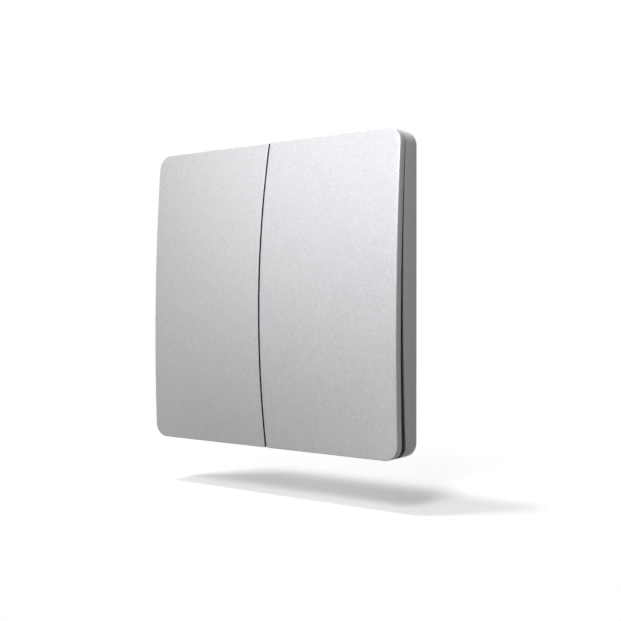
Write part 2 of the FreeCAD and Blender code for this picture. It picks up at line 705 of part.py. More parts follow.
def cell_holder():
    """Moulded ring with a floor, an eye in the floor and a mouth at the bottom to lift the cell by."""
    inside = HOLDER_RADIUS - HOLDER_WALL
    floor_top = BOARD_FRONT + HOLDER_FLOOR
    cup = disc(0, CELL_RISE, HOLDER_RADIUS, BOARD_FRONT, HOLDER_TOP)
    strip = CONTACT_WIDTH / 2 + HOLDER_CLEARANCE
    mouth = block(
        -HOLDER_MOUTH / 2, HOLDER_MOUTH / 2, CELL_RISE - HOLDER_RADIUS, CELL_RISE, floor_top, HOLDER_TOP
    )
    gate_end = CELL_RISE + HOLDER_RADIUS
    contact_gate = block(-strip, strip, CELL_RISE, gate_end, HOLDER_TOP - HOLDER_FLOOR, HOLDER_TOP)
    return cup.cut(
        [
            disc(0, CELL_RISE, inside, floor_top, HOLDER_TOP),
            disc(0, CELL_RISE, HOLDER_EYE_RADIUS, BOARD_FRONT, floor_top),
            mouth,
            contact_gate,
        ]
    )


def positive_contact():
    """Spring strip: a foot on the board, a riser outside the holder and a finger over the cell's edge."""
    inner = CELL_RISE + HOLDER_RADIUS + CONTACT_THICKNESS
    outer = inner + CONTACT_THICKNESS
    foot_end = outer + CONTACT_FOOT
    finger_end = CELL_RISE + CELL_RADIUS - CONTACT_FINGER
    section = (
        (BOARD_FRONT, inner),
        (CELL_FRONT, inner),
        (CELL_FRONT, finger_end),
        (CELL_FRONT + CONTACT_THICKNESS, finger_end),
        (CELL_FRONT + CONTACT_THICKNESS, outer),
        (BOARD_FRONT + CONTACT_THICKNESS, outer),
        (BOARD_FRONT + CONTACT_THICKNESS, foot_end),
        (BOARD_FRONT, foot_end),
    )
    return profile_along_x(section, -CONTACT_WIDTH / 2, CONTACT_WIDTH / 2)


def negative_contact():
    """Strip on the holder's floor, across the eye, with a leg through the eye to the board."""
    floor_top = BOARD_FRONT + HOLDER_FLOOR
    reach = CELL_RADIUS - CELL_STEP
    leg = HOLDER_EYE_RADIUS - HOLDER_CLEARANCE
    section = (
        (floor_top, CELL_RISE - reach),
        (CELL_REAR, CELL_RISE - reach),
        (CELL_REAR, CELL_RISE + reach),
        (floor_top, CELL_RISE + reach),
        (floor_top, CELL_RISE + CONTACT_FOOT),
        (BOARD_FRONT, CELL_RISE + CONTACT_FOOT),
        (BOARD_FRONT, CELL_RISE - CONTACT_FOOT),
        (floor_top, CELL_RISE - CONTACT_FOOT),
    )
    return profile_along_x(section, -leg / 2, leg / 2)


def radio_board():
    half_x = RADIO_WIDTH / 2
    half_z = RADIO_HEIGHT / 2
    return block(
        -half_x, half_x, RADIO_Z - half_z, RADIO_Z + half_z, BOARD_FRONT, BOARD_FRONT + RADIO_BOARD
    )


def radio_shield():
    """Folded sheet can, open towards the radio module's board."""
    half_x = RADIO_WIDTH / 2 - SHIELD_MARGIN
    half_z = RADIO_HEIGHT / 2 - SHIELD_MARGIN
    rear = BOARD_FRONT + RADIO_BOARD
    front = rear + SHIELD_HEIGHT
    can = block(-half_x, half_x, RADIO_Z - half_z, RADIO_Z + half_z, rear, front)
    inner_x = half_x - SHIELD_SHEET
    inner_z = half_z - SHIELD_SHEET
    return can.cut(
        block(-inner_x, inner_x, RADIO_Z - inner_z, RADIO_Z + inner_z, rear, front - SHIELD_SHEET)
    )


def indicator_led():
    half_x = LED_WIDTH / 2
    half_z = LED_HEIGHT / 2
    front = BOARD_FRONT + LED_THICKNESS
    return block(-half_x, half_x, LED_Z - half_z, LED_Z + half_z, BOARD_FRONT, front)


def light_pipe():
    rear = BOARD_FRONT + LED_THICKNESS + HEADROOM
    stem = disc(0, LED_Z, PIPE_RADIUS, rear, DECK_FRONT + PIPE_STAND)
    flange_front = DECK_FRONT + PIPE_FLANGE_THICKNESS
    return stem.fuse(disc(0, LED_Z, PIPE_RADIUS + PIPE_FLANGE, DECK_FRONT, flange_front))


def chip_capacitors():
    """Row of chip parts on each side of the coin cell."""
    chips = []
    for side in SIDES:
        x = side * (HOLDER_RADIUS + CHIP_GAP + CHIP_LENGTH / 2)
        for index in range(CHIP_COUNT):
            z = CELL_RISE + (index - (CHIP_COUNT - 1) / 2) * CHIP_PITCH
            chips.append(
                block(x - CHIP_LENGTH / 2, x + CHIP_LENGTH / 2, z - CHIP_WIDTH / 2, z + CHIP_WIDTH / 2,
                      BOARD_FRONT, BOARD_FRONT + CHIP_THICKNESS)
            )
    return Part.makeCompound(chips)


def crystal():
    x = RADIO_WIDTH / 2 + CRYSTAL_LENGTH
    z = LED_Z
    return block(
        x - CRYSTAL_LENGTH / 2, x + CRYSTAL_LENGTH / 2, z - CRYSTAL_WIDTH / 2, z + CRYSTAL_WIDTH / 2,
        BOARD_FRONT, BOARD_FRONT + CRYSTAL_THICKNESS,
    )


# Springs and pads

def return_spring(x):
    """Compression spring that stands in the deck's cup and lifts the key's spring seat."""
    height = SPRING_LENGTH - SPRING_WIRE
    pitch = height / SPRING_TURNS
    path = Part.makeHelix(pitch, height, SPRING_RADIUS)
    start = FreeCAD.Vector(SPRING_RADIUS, 0, 0)
    slope = FreeCAD.Vector(0, 2 * math.pi * SPRING_RADIUS, pitch)
    rim = Part.Circle(start, slope, SPRING_WIRE / 2).toShape()
    section = Part.makePolygon(rim.discretize(SPRING_WIRE_SIDES + 1))
    coil = Part.Wire(path).makePipeShell([section], True, True)
    coil.rotate(FreeCAD.Vector(0, 0, 0), FreeCAD.Vector(1, 0, 0), 90)
    coil.translate(point(x, DECK_FRONT + SPRING_WIRE / 2, SPRING_Z))
    return coil


def bumper_pads():
    front = DECK_FRONT + BUMPER_THICKNESS
    pads = [disc(side * KEY_MIDDLE, BUMPER_Z, BUMPER_RADIUS, DECK_FRONT, front) for side in SIDES]
    return Part.makeCompound(pads)


def build_parts():
    key = right_key()
    parts = {
        "rear_housing": rear_housing(),
        "key_carrier": key_carrier(),
        "right_key": key,
        "left_key": mirrored(key),
        "carrier_screws": screw_set(carrier_screw_places(), DECK_FRONT),
        "board_screws": screw_set(board_screw_places(), BOARD_FRONT),
        "circuit_board": circuit_board(),
        "coin_cell": coin_cell(),
        "cell_holder": cell_holder(),
        "positive_contact": positive_contact(),
        "negative_contact": negative_contact(),
        "radio_board": radio_board(),
        "radio_shield": radio_shield(),
        "indicator_led": indicator_led(),
        "light_pipe": light_pipe(),
        "chip_capacitors": chip_capacitors(),
        "crystal": crystal(),
        "bumper_pads": bumper_pads(),
        "adhesive_pads": Part.makeCompound(pad_plates(PAD_CLEARANCE)),
    }
    for name, side in (("left", -1), ("right", 1)):
        x = side * KEY_MIDDLE
        parts[name + "_switch_body"] = switch_body(x)
        parts[name + "_switch_cover"] = switch_cover(x)
        parts[name + "_switch_legs"] = switch_legs(x)
        parts[name + "_plunger"] = plunger(x)
        parts[name + "_return_spring"] = return_spring(x)
    return parts


os.makedirs("parts", exist_ok=True)
for node, shape in build_parts().items():
    shape.exportStep(os.path.join("parts", node + ".step"))
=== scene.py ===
import json
import math

import bmesh
import bpy
from mathutils import Matrix, Vector


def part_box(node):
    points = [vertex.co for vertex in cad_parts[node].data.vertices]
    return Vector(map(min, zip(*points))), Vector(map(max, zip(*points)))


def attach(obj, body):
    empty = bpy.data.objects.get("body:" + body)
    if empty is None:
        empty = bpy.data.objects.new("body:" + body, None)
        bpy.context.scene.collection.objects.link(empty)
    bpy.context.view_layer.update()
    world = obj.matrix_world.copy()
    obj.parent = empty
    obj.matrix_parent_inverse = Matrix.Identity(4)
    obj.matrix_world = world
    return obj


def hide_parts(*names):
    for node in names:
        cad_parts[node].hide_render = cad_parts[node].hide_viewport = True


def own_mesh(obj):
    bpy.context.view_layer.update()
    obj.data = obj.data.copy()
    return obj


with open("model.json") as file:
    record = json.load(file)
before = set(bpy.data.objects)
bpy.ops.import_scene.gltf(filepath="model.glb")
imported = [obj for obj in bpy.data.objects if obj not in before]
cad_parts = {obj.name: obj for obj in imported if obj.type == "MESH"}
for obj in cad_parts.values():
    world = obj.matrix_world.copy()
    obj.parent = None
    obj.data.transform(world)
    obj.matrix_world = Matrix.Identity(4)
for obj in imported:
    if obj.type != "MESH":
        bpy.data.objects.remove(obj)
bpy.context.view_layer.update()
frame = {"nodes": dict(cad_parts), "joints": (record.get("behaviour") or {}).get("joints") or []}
nodes = frame["nodes"]
MM = 0.001


# Rear housing
# A shallow tray with a rim that follows the keys, pillars and pins inside and two slots for wall screws. It
# is moulded in ABS and sprayed satin silver, and everything else is fitted into it.

SILVER = (0.60, 0.597, 0.60)
SILVER_METALLIC = 0.12
# Painted shade: this dark grey on the rim's front stands in for the shade in the gap beside the keys. Inside
# the tray it is the bare plastic.
RIM_SHADE_AND_BARE_GREY = (0.19, 0.19, 0.193)
SIDES_SILVER_FROM = 41 * MM
REAR_FROM = 0.8
REAR_SLOPE = 10.0
SOCKET_KINDS = {float: "Float", int: "Int", tuple: "Vector"}


def feed(tree, slot, value):
    """Links a socket, or sets a plain value, on an input."""
    if isinstance(value, bpy.types.NodeSocket):
        tree.links.new(value, slot)
    else:
        slot.default_value = value


def place(tree, kind, settings=None, **inputs):
    """New node with its properties set and its inputs fed by name, with underscores for spaces."""
    node = tree.nodes.new(kind)
    for name, value in (settings or {}).items():
        setattr(node, name, value)
    for name, value in inputs.items():
        feed(tree, node.inputs[name.replace("_", " ")], value)
    return node


def place_step(tree, kind, operation, values):
    """New node for one operation, with its inputs fed in their order. Returns its outputs."""
    node = place(tree, kind, {"operation": operation})
    for slot, value in zip(node.inputs, values):
        feed(tree, slot, value)
    return node.outputs


def calculate(tree, operation, *values):
    return place_step(tree, "ShaderNodeMath", operation, values)[0]


def vector_step(tree, operation, *values):
    result = "Value" if operation in ("LENGTH", "DISTANCE", "DOT_PRODUCT") else "Vector"
    return place_step(tree, "ShaderNodeVectorMath", operation, values)[result]


def split(tree, vector):
    """The parts of a vector, by the names of their axes."""
    return place(tree, "ShaderNodeSeparateXYZ", Vector=vector).outputs


def noise(tree, vector, detail=2.0):
    return place(tree, "ShaderNodeTexNoise", Scale=1.0, Detail=detail, Vector=vector).outputs[0]


def swing(tree, value, change, middle=1.0):
    """Turns a value between 0 and 1 into one that swings about a middle by the change."""
    return calculate(tree, "MULTIPLY_ADD", calculate(tree, "SUBTRACT", value, 0.5), change, middle)


def new_tree(kind, tree_name, **inputs):
    """Group of nodes that reads named inputs, each given by its default or by its kind. Returns its tree and
    what it reads."""
    tree = bpy.data.node_groups.new(tree_name, kind)
    for name, value in inputs.items():
        known = SOCKET_KINDS.get(type(value))
        socket = tree.interface.new_socket(
            name.replace("_", " "), in_out="INPUT", socket_type="NodeSocket" + (known or value))
        if known:
            socket.default_value = value
    return tree, place(tree, "NodeGroupInput").outputs


def close_tree(tree, kind="Float", **results):
    """Gives a group of nodes its outputs, all of one kind. Returns the finished group."""
    for name in results:
        tree.interface.new_socket(name, in_out="OUTPUT", socket_type="NodeSocket" + kind)
    place(tree, "NodeGroupOutput", **results)
    return tree


def make_flake_group():
    """Sprayed metallic paint: one brightness for each flake, over soft clouds left by the spray gun."""
    tree, start = new_tree("ShaderNodeTree", "metal_flake", Vector="Vector", Flake_Size=0.28 * MM,
                           Flake_Change=0.17, Cloud_Size=9 * MM, Cloud_Change=0.03, Roughness=0.42)
    spot = vector_step(tree, "DIVIDE", start["Vector"], start["Flake Size"])
    flakes = place(tree, "ShaderNodeTexVoronoi", Scale=1.0, Vector=spot)
    parts = place(tree, "ShaderNodeSeparateColor", Color=flakes.outputs["Color"]).outputs
    cloud = noise(tree, vector_step(tree, "DIVIDE", start["Vector"], start["Cloud Size"]), 3.0)
    flake = swing(tree, parts[0], start["Flake Change"])
    shade = calculate(tree, "MULTIPLY", flake, swing(tree, cloud, start["Cloud Change"]))
    rough = calculate(tree, "MULTIPLY", start["Roughness"], swing(tree, parts[2], 0.2))
    return close_tree(tree, Shade=shade, Height=parts[1], Roughness=rough)


metal_flake = make_flake_group()


def new_material(name, metallic=0.0):
    """Material with a Principled shader. Returns the material, its tree and its shader."""
    material = bpy.data.materials.new(name)
    material.use_nodes = True
    shader = material.node_tree.nodes["Principled BSDF"]
    shader.inputs["Metallic"].default_value = metallic
    return material, material.node_tree, shader


def object_vector(tree):
    return place(tree, "ShaderNodeTexCoord").outputs["Object"]


def use_group(tree, group, **values):
    """Places a node group on Object coordinates. Returns its outputs."""
    return place(tree, "ShaderNodeGroup", {"node_tree": group}, Vector=object_vector(tree), **values).outputs


def blend_colors(tree, share, first, second, blend="MIX"):
    """Mix of two colours, each a plain colour or a socket, by a share. Returns its output."""
    mix = place(tree, "ShaderNodeMix", {"data_type": "RGBA", "blend_type": blend})
    feed(tree, mix.inputs[0], share)
    for slot, color in zip((mix.inputs[6], mix.inputs[7]), (first, second)):
        feed(tree, slot, color if isinstance(color, bpy.types.NodeSocket) else (*color, 1.0))
    return mix.outputs[2]


def coat(tree, shader, color, shade, roughness):
    """Feeds a shader with a roughness, and with a colour made brighter or darker by a shade."""
    feed(tree, shader.inputs["Base Color"], blend_colors(tree, 1.0, color, shade, "MULTIPLY"))
    feed(tree, shader.inputs["Roughness"], roughness)


def add_bump(tree, shader, height, distance, strength):
    bump = place(tree, "ShaderNodeBump", Distance=distance, Strength=strength, Height=height)
    tree.links.new(bump.outputs[0], shader.inputs["Normal"])


def satin_silver(name, bare, cover):
    """Sprayed silver: fine flake, a satin sheen and a faintly uneven coat. Where the mask made by cover falls
    to nothing, the dark colour given as bare is painted in place of the silver: painted shade in the split
    between the keys and on the housing's rim front, and bare plastic inside the housing."""
    material, tree, shader = new_material(name, SILVER_METALLIC)
    paint = use_group(tree, metal_flake)
    mask = cover(tree)
    mask.node.use_clamp = True
    # Painted shade: where the mask is 0, the dark colour takes the place of the silver.
    coat(tree, shader, blend_colors(tree, mask, bare, SILVER), paint["Shade"], paint["Roughness"])
    add_bump(tree, shader, paint["Height"], 0.01 * MM, 0.25)
    return material


def rim_shade_and_bare_mask(tree):
    """The rear face and the outer sides are silver. The rim's front, in the gap beside the keys, gets a dark
    grey as painted shade, and the inside of the tray shows the same grey as bare plastic.
    """
    normal = place(tree, "ShaderNodeNewGeometry").outputs["True Normal"]
    outward = vector_step(tree, "DOT_PRODUCT", object_vector(tree), normal)
    sides = calculate(tree, "DIVIDE", calculate(tree, "SUBTRACT", outward, SIDES_SILVER_FROM), MM)
    rear = calculate(tree, "MULTIPLY", split(tree, normal)["Y"], REAR_SLOPE)
    rear = calculate(tree, "SUBTRACT", rear, REAR_SLOPE * REAR_FROM)
    return calculate(tree, "MAXIMUM", sides, rear)


def dress(name, material, edge_mm=0.0):
    """Gives a solid its material, joins its loose triangles and rounds its sharp edges by the radius."""
    part = nodes[name]
    part.data.materials.clear()
    part.data.materials.append(material)
    weld = part.modifiers.new("weld", "WELD")
    weld.merge_threshold = 0.002 * MM
    flat = part.modifiers.new("flat_faces", "DECIMATE")
    flat.decimate_type = "DISSOLVE"
    flat.angle_limit = math.radians(0.5)
    if edge_mm:
        bevel = part.modifiers.new("edge", "BEVEL")
        bevel.width = edge_mm * MM
        bevel.segments = 2
        bevel.limit_method = "ANGLE"
        bevel.angle_limit = math.radians(50)
    part.data.polygons.foreach_set("use_smooth", [True] * len(part.data.polygons))
    normals = part.modifiers.new("normals", "WEIGHTED_NORMAL")
    normals.keep_sharp = True


dress("rear_housing", satin_silver("housing_paint", RIM_SHADE_AND_BARE_GREY, rim_shade_and_bare_mask), 0.06)


# Adhesive pads
# Two strips of double-sided foam tape, cut with rounded corners and pressed into shallow recesses of the rear
# face. Their liner is off, so the fine closed cells of the foam and the thin film of glue show.

TAPE_COLOR = (0.80, 0.79, 0.75)
TAPE_CELL = 0.35 * MM


def foam_tape():
    material, tree, shader = new_material("foam_tape")
    vector = vector_step(tree, "SCALE", object_vector(tree))
    vector.node.inputs["Scale"].default_value = 1 / TAPE_CELL
    voronoi = place(tree, "ShaderNodeTexVoronoi", {"feature": "SMOOTH_F1"}, Scale=1.0, Vector=vector)
    cells = voronoi.outputs["Distance"]
    coat(tree, shader, TAPE_COLOR, swing(tree, cells, 0.18), swing(tree, noise(tree, vector), 0.3, 0.55))
    add_bump(tree, shader, cells, 0.06 * MM, 0.5)
    return material


dress("adhesive_pads", foam_tape(), 0.06)


# Circuit board
# A glass-fibre board with a green solder mask over copper tracks and plated holes. It lies on four standoffs,
# is set by two pins of the housing and is held by two screws.

MASK_GREEN = (0.025, 0.20, 0.09)
TRACK_GREEN = (0.05, 0.30, 0.13)
TIN = (0.72, 0.72, 0.70)
BARE_BOARD = (0.45, 0.40, 0.22)
WEAVE_PER_METRE = (900.0, 9000.0, 900.0)


def make_track_group():
    """Copper tracks under a solder mask: each cell of a grid carries a level or an upright run, or a hole."""
    tree, start = new_tree("ShaderNodeTree", "copper_tracks", Vector="Vector", Pitch=1.1 * MM,
                           Track_Share=0.4, Hole_Share=0.42)
    parts = split(tree, vector_step(tree, "DIVIDE", start["Vector"], start["Pitch"]))
    cells = []
    offsets = []
    for axis in "XZ":
        cells.append(calculate(tree, "FLOOR", parts[axis]))
        offset = calculate(tree, "SUBTRACT", calculate(tree, "FRACT", parts[axis]), 0.5)
        offsets.append(calculate(tree, "ABSOLUTE", offset))
    cell = place(tree, "ShaderNodeCombineXYZ", X=cells[0], Y=cells[1]).outputs[0]
    chance = place(tree, "ShaderNodeTexWhiteNoise", {"noise_dimensions": "2D"}, Vector=cell).outputs["Value"]
    pick = calculate(tree, "GREATER_THAN", chance, 0.5)
    across = place(tree, "ShaderNodeMix", {"data_type": "FLOAT"}, Factor=pick, A=offsets[0], B=offsets[1])
    half_track = calculate(tree, "MULTIPLY", start["Track Share"], 0.5)
    track = calculate(tree, "LESS_THAN", across.outputs[0], half_track)
    squares = [calculate(tree, "POWER", offset, 2.0) for offset in offsets]
    near = calculate(tree, "SQRT", calculate(tree, "ADD", *squares))
    half_hole = calculate(tree, "MULTIPLY", start["Hole Share"], 0.5)
    few = calculate(tree, "GREATER_THAN", chance, 0.93)
    hole = calculate(tree, "MULTIPLY", calculate(tree, "LESS_THAN", near, half_hole), few)
    return close_tree(tree, Track=track, Hole=hole, Height=calculate(tree, "MAXIMUM", track, hole))


copper_tracks = make_track_group()


def masked_board(name, mask, track):
    """Board material: tracks seen through the mask, tinned holes, and bare glass fibre on the sawn edges."""
    material, tree, shader = new_material(name)
    tracks = use_group(tree, copper_tracks)
    color = blend_colors(tree, tracks["Track"], mask, track)
    color = blend_colors(tree, tracks["Hole"], color, TIN)
    normal = split(tree, place(tree, "ShaderNodeNewGeometry").outputs["True Normal"])
    edge = calculate(tree, "LESS_THAN", calculate(tree, "ABSOLUTE", normal["Y"]), 0.5)
    weave = noise(tree, vector_step(tree, "MULTIPLY", object_vector(tree), WEAVE_PER_METRE))
    weave = calculate(tree, "ADD", calculate(tree, "MULTIPLY", weave, 0.5), 0.75)
    coat(tree, shader, blend_colors(tree, edge, color, BARE_BOARD), weave,
         calculate(tree, "MULTIPLY_ADD", edge, 0.4, 0.3))
    bare = calculate(tree, "SUBTRACT", 1.0, edge)
    tree.links.new(calculate(tree, "MULTIPLY", tracks["Hole"], bare), shader.inputs["Metallic"])
    add_bump(tree, shader, tracks["Height"], 0.03 * MM, 0.6)
    return material


dress("circuit_board", masked_board("board_green", MASK_GREEN, TRACK_GREEN))


# Board screws
# Two zinc-plated pan-head screws with a cross recess and a coarse thread that cuts its own way into the
# standoffs. They clamp the upper edge of the board.

SCREW_HEAD_RADIUS = 1.9 * MM
SCREW_HEAD_HEIGHT = 0.8 * MM
SCREW_CORE = 0.68 * MM
SCREW_THREAD = 0.95 * MM
SCREW_PITCH = 0.62 * MM
SCREW_SIDES = 20
SCREW_DOME = (1.4, 0.7 * SCREW_HEAD_HEIGHT)
THREAD_STEPS = 8
TIP_LENGTH = 1.5 * SCREW_PITCH
TIP_SHARE = 0.4
CROSS_WIDTH = 0.45 * MM
CROSS_DEPTH = 0.4 * MM


def close_real(tree, geometry, material):
    """Makes instances real, sets the material and puts the geometry out. Returns the finished tree."""
    real = place(tree, "GeometryNodeRealizeInstances", Geometry=geometry).outputs[0]
    painted = place(tree, "GeometryNodeSetMaterial", Geometry=real, Material=material)
    return close_tree(tree, "Geometry", Geometry=painted.outputs[0])


def make_grid_tree():
    """Sets out copies of one piece in columns and rows on the wall's plane, each turned about its axis."""
    tree, start = new_tree(
        "GeometryNodeTree", "set_out_in_grid", Geometry="Geometry", Columns=2, Rows=1, Column_Pitch=0.01,
        Row_Pitch=0.01, Centre=(0.0, 0.0, 0.0), Largest_Turn=0.0, Seed=1, Material="Material",
    )
    index = place(tree, "GeometryNodeInputIndex").outputs[0]
    column = calculate(tree, "MODULO", index, start["Columns"])
    row = calculate(tree, "FLOOR", calculate(tree, "DIVIDE", index, start["Columns"]))
    shifts = []
    for step, count, pitch in ((column, "Columns", "Column Pitch"), (row, "Rows", "Row Pitch")):
        half = calculate(tree, "MULTIPLY", calculate(tree, "SUBTRACT", start[count], 1.0), 0.5)
        shifts.append(calculate(tree, "MULTIPLY", calculate(tree, "SUBTRACT", step, half), start[pitch]))
    spots = place(tree, "ShaderNodeCombineXYZ", X=shifts[0], Z=shifts[1]).outputs[0]
    points = place(
        tree, "GeometryNodePoints", Count=calculate(tree, "MULTIPLY", start["Columns"], start["Rows"]),
        Position=vector_step(tree, "ADD", spots, start["Centre"]),
    )
    chance = place(tree, "FunctionNodeRandomValue", {"data_type": "FLOAT"}, Seed=start["Seed"]).outputs[1]
    turn = calculate(tree, "MULTIPLY", chance, start["Largest Turn"])
    copies = place(
        tree, "GeometryNodeInstanceOnPoints", Points=points.outputs[0], Instance=start["Geometry"],
        Rotation=place(tree, "ShaderNodeCombineXYZ", Y=turn).outputs[0],
    )
    return close_real(tree, copies.outputs[0], start["Material"])


set_out_in_grid = make_grid_tree()


def link_piece(name, data):
    piece = bpy.data.objects.new(name, data)
    bpy.context.scene.collection.objects.link(piece)
    return piece


def baked(piece):
    """Mesh data of a piece with its modifiers applied. The modifiers are removed."""
    evaluated = piece.evaluated_get(bpy.context.evaluated_depsgraph_get())
    result = bpy.data.meshes.new_from_object(evaluated)
    piece.modifiers.clear()
    return result


def grow(name, tree, mesh=None, **values):
    """Runs a geometry tree with named inputs on a mesh. Returns its result as a new plain mesh object."""
    seed = link_piece(name + "_seed", mesh or bpy.data.meshes.new(name + "_seed"))
    modifier = seed.modifiers.new("tree", "NODES")
    modifier.node_group = tree
    for item in tree.interface.items_tree:
        if item.in_out == "INPUT" and item.name.replace(" ", "_") in values:
            modifier[item.identifier] = values[item.name.replace(" ", "_")]
    result = baked(seed)
    bpy.data.objects.remove(seed)
    return link_piece(name, result)


def settle(piece, degrees, body, slot, *replaced):
    """Shades a finished piece smooth, but for edges that turn by more than the angle, puts it on its body and
    hides the nodes that it stands for. The slot, the name of its finish, is not used."""
    if degrees:
        piece.data.shade_smooth()
        piece.data.set_sharp_from_angle(angle=math.radians(degrees))
    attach(piece, body)
    if replaced:
        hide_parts(*replaced)


def bridge(mesh, ring, following):
    """Joins two rings of points with a band of faces."""
    for index in range(len(ring)):
        after = (index + 1) % len(ring)
        mesh.faces.new([ring[index], following[index], following[after], ring[after]])


def loft(mesh, rings):
    """Adds a closed solid through rings that have equal numbers of points."""
    made = [[mesh.verts.new(point) for point in ring] for ring in rings]
    for ring, following in zip(made, made[1:]):
        bridge(mesh, ring, following)
    mesh.faces.new(made[0])
    mesh.faces.new(made[-1])


def circle(x, z, radius, depth, count=32):
    """Points of a circle that faces the room, at a depth in front of the wall."""
    turns = [2 * math.pi * index / count for index in range(count)]
    return [(x + radius * math.cos(turn), -depth, z + radius * math.sin(turn)) for turn in turns]


def rounding(radius, steps):
    """Insets and drops of a quarter round, from the flat face to the side."""
    turns = [math.pi / 2 * index / steps for index in range(steps + 1)]
    return [(radius * (1 - math.sin(turn)), radius * (1 - math.cos(turn))) for turn in turns]


def finished_mesh(mesh, name):
    """Turns a bmesh into mesh data with its doubles merged and its faces turned outwards."""
    bmesh.ops.remove_doubles(mesh, verts=mesh.verts, dist=0.0005 * MM)
    bmesh.ops.recalc_face_normals(mesh, faces=mesh.faces)
    data = bpy.data.meshes.new(name)
    mesh.to_mesh(data)
    mesh.free()
    return data


def lofted(name, rings):
    """Mesh data of one closed solid through rings of points."""
    mesh = bmesh.new()
    loft(mesh, rings)
    return finished_mesh(mesh, name)


def combine(piece, other, operation):
    """Exact union or difference of two closed pieces. The second piece is used up."""
    modifier = piece.modifiers.new("combine", "BOOLEAN")
    modifier.operation = operation
    modifier.solver = "EXACT"
    modifier.use_self = True
    modifier.object = other
    piece.data = baked(piece)
    bpy.data.objects.remove(other)


def thread_rings(length):
    """Rings of the threaded shank, from under the head to the tapered tip, along the screw's axis."""
    rings = []
    steps = round(length / SCREW_PITCH * THREAD_STEPS)
    for step in range(steps + 1):
        along = length * step / steps
        taper = min(1.0, (length - along) / TIP_LENGTH * (1 - TIP_SHARE) + TIP_SHARE)
        grip = min(1.0, along / SCREW_PITCH)
        ring = []
        for side in range(SCREW_SIDES):
            turn = side / SCREW_SIDES
            phase = (along / SCREW_PITCH + turn) % 1.0
            crest = max(0.0, 1 - abs(phase - 0.5) * 4) * grip
            reach = (SCREW_CORE + (SCREW_THREAD - SCREW_CORE) * crest) * taper
            angle = 2 * math.pi * turn
            ring.append((reach * math.cos(angle), along, reach * math.sin(angle)))
        rings.append(ring)
    return rings


def screw_mesh(length):
    """One screw with its seat at the origin, its head towards the room and its shank towards the wall."""
    spread, height = SCREW_DOME
    head = [circle(0, 0, SCREW_HEAD_RADIUS - inset * spread, SCREW_HEAD_HEIGHT - drop, SCREW_SIDES)
            for inset, drop in rounding(height, 5)]
    head.append(circle(0, 0, SCREW_HEAD_RADIUS, 0, SCREW_SIDES))
    piece = link_piece("screw", lofted("screw", head + thread_rings(length)))
    cross = bmesh.new()
    for along, across in ((SCREW_HEAD_RADIUS / 2, CROSS_WIDTH / 2), (CROSS_WIDTH / 2, SCREW_HEAD_RADIUS / 2)):
        rings = []
        for depth, spread in ((SCREW_HEAD_HEIGHT - CROSS_DEPTH, 0.7), (SCREW_HEAD_HEIGHT * 1.2, 1.15)):
            reach_x = along * spread
            reach_z = across * spread
            corners = ((-1, -1), (1, -1), (1, 1), (-1, 1))
            rings.append([(x * reach_x, -depth, z * reach_z) for x, z in corners])
        loft(cross, rings)
    combine(piece, link_piece("cross", finished_mesh(cross, "cross")), "DIFFERENCE")
    data = piece.data
    bpy.data.objects.remove(piece)
    return data


def make_brush_group():
    """Rolled, drawn or brushed bare metal: long streaks that change its shade, its sheen and its height."""
    tree, start = new_tree("ShaderNodeTree", "brushed_metal", Vector="Vector", Streak=(MM, MM, MM),
                           Shade_Change=0.1, Roughness=0.3, Sheen_Change=0.15)
    streaks = noise(tree, vector_step(tree, "DIVIDE", start["Vector"], start["Streak"]), 3.0)
    rough = swing(tree, streaks, start["Sheen Change"], start["Roughness"])
    return close_tree(
        tree, Shade=swing(tree, streaks, start["Shade Change"]), Roughness=rough, Height=streaks)


brushed_metal = make_brush_group()


def grained(name, metallic, color, group, depth, strength, **values):
    """Material whose shade, roughness and bump come from a node group."""
    material, tree, shader = new_material(name, metallic)
    grain = use_group(tree, group, **values)
    coat(tree, shader, color, grain["Shade"], grain["Roughness"])
    add_bump(tree, shader, grain["Height"], depth, strength)
    return material


def bare_metal(name, color, streak_mm, roughness, change=0.12):
    streak = tuple(size * MM for size in streak_mm)
    return grained(name, 1.0, color, brushed_metal, 0.004 * MM, 0.3, Streak=streak, Shade_Change=change,
                   Roughness=roughness)


screw_steel = bare_metal("screw_steel", (0.62, 0.62, 0.60), (0.25, 0.25, 0.25), 0.34)


def screw_set(node, rows, row_pitch, seed):
    """Screws of one length, set out where the node's box says, with their recesses turned at random."""
    low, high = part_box(node)
    seat = -low.y - SCREW_HEAD_HEIGHT
    screws = grow(
        node + "_threaded", set_out_in_grid, screw_mesh(seat + high.y), Rows=rows, Row_Pitch=row_pitch,
        Column_Pitch=high.x - low.x - 2 * SCREW_HEAD_RADIUS,
        Centre=(0.0, -seat, (low.z + high.z) / 2), Largest_Turn=math.pi / 2, Seed=seed, Material=screw_steel,
    )
    settle(screws, 40, "base", "screw_steel", node)


screw_set("board_screws", 1, 0.0, 3)


# Chip capacitors
# Two columns of four fired ceramic chips beside the coin cell, with tinned end caps that are soldered to pads
# of the board.

CHIP_LENGTH = 2.0 * MM
CHIP_WIDTH = 1.25 * MM
CHIP_CAP = 0.4 * MM
CHIP_CAP_RISE = 0.03 * MM
CHIP_ROWS = 4
CERAMIC = (0.45, 0.33, 0.20)


def chip_mesh(width, thickness):
    """One chip with its middle at the origin, its foot on the wall's plane and end caps a little proud."""
    half = CHIP_LENGTH / 2
    steps = ((-half, 1), (CHIP_CAP_RISE - half, 0), (CHIP_CAP - half, 0), (CHIP_CAP - half, 1),
             (half - CHIP_CAP, 1), (half - CHIP_CAP, 0), (half - CHIP_CAP_RISE, 0), (half, 1))
    rings = []
    for x, shrink in steps:
        inset = shrink * CHIP_CAP_RISE
        low = -width / 2 + inset
        top = thickness - inset
        rings.append([(x, -inset, low), (x, -inset, -low), (x, -top, -low), (x, -top, low)])
    return lofted("chip", rings)


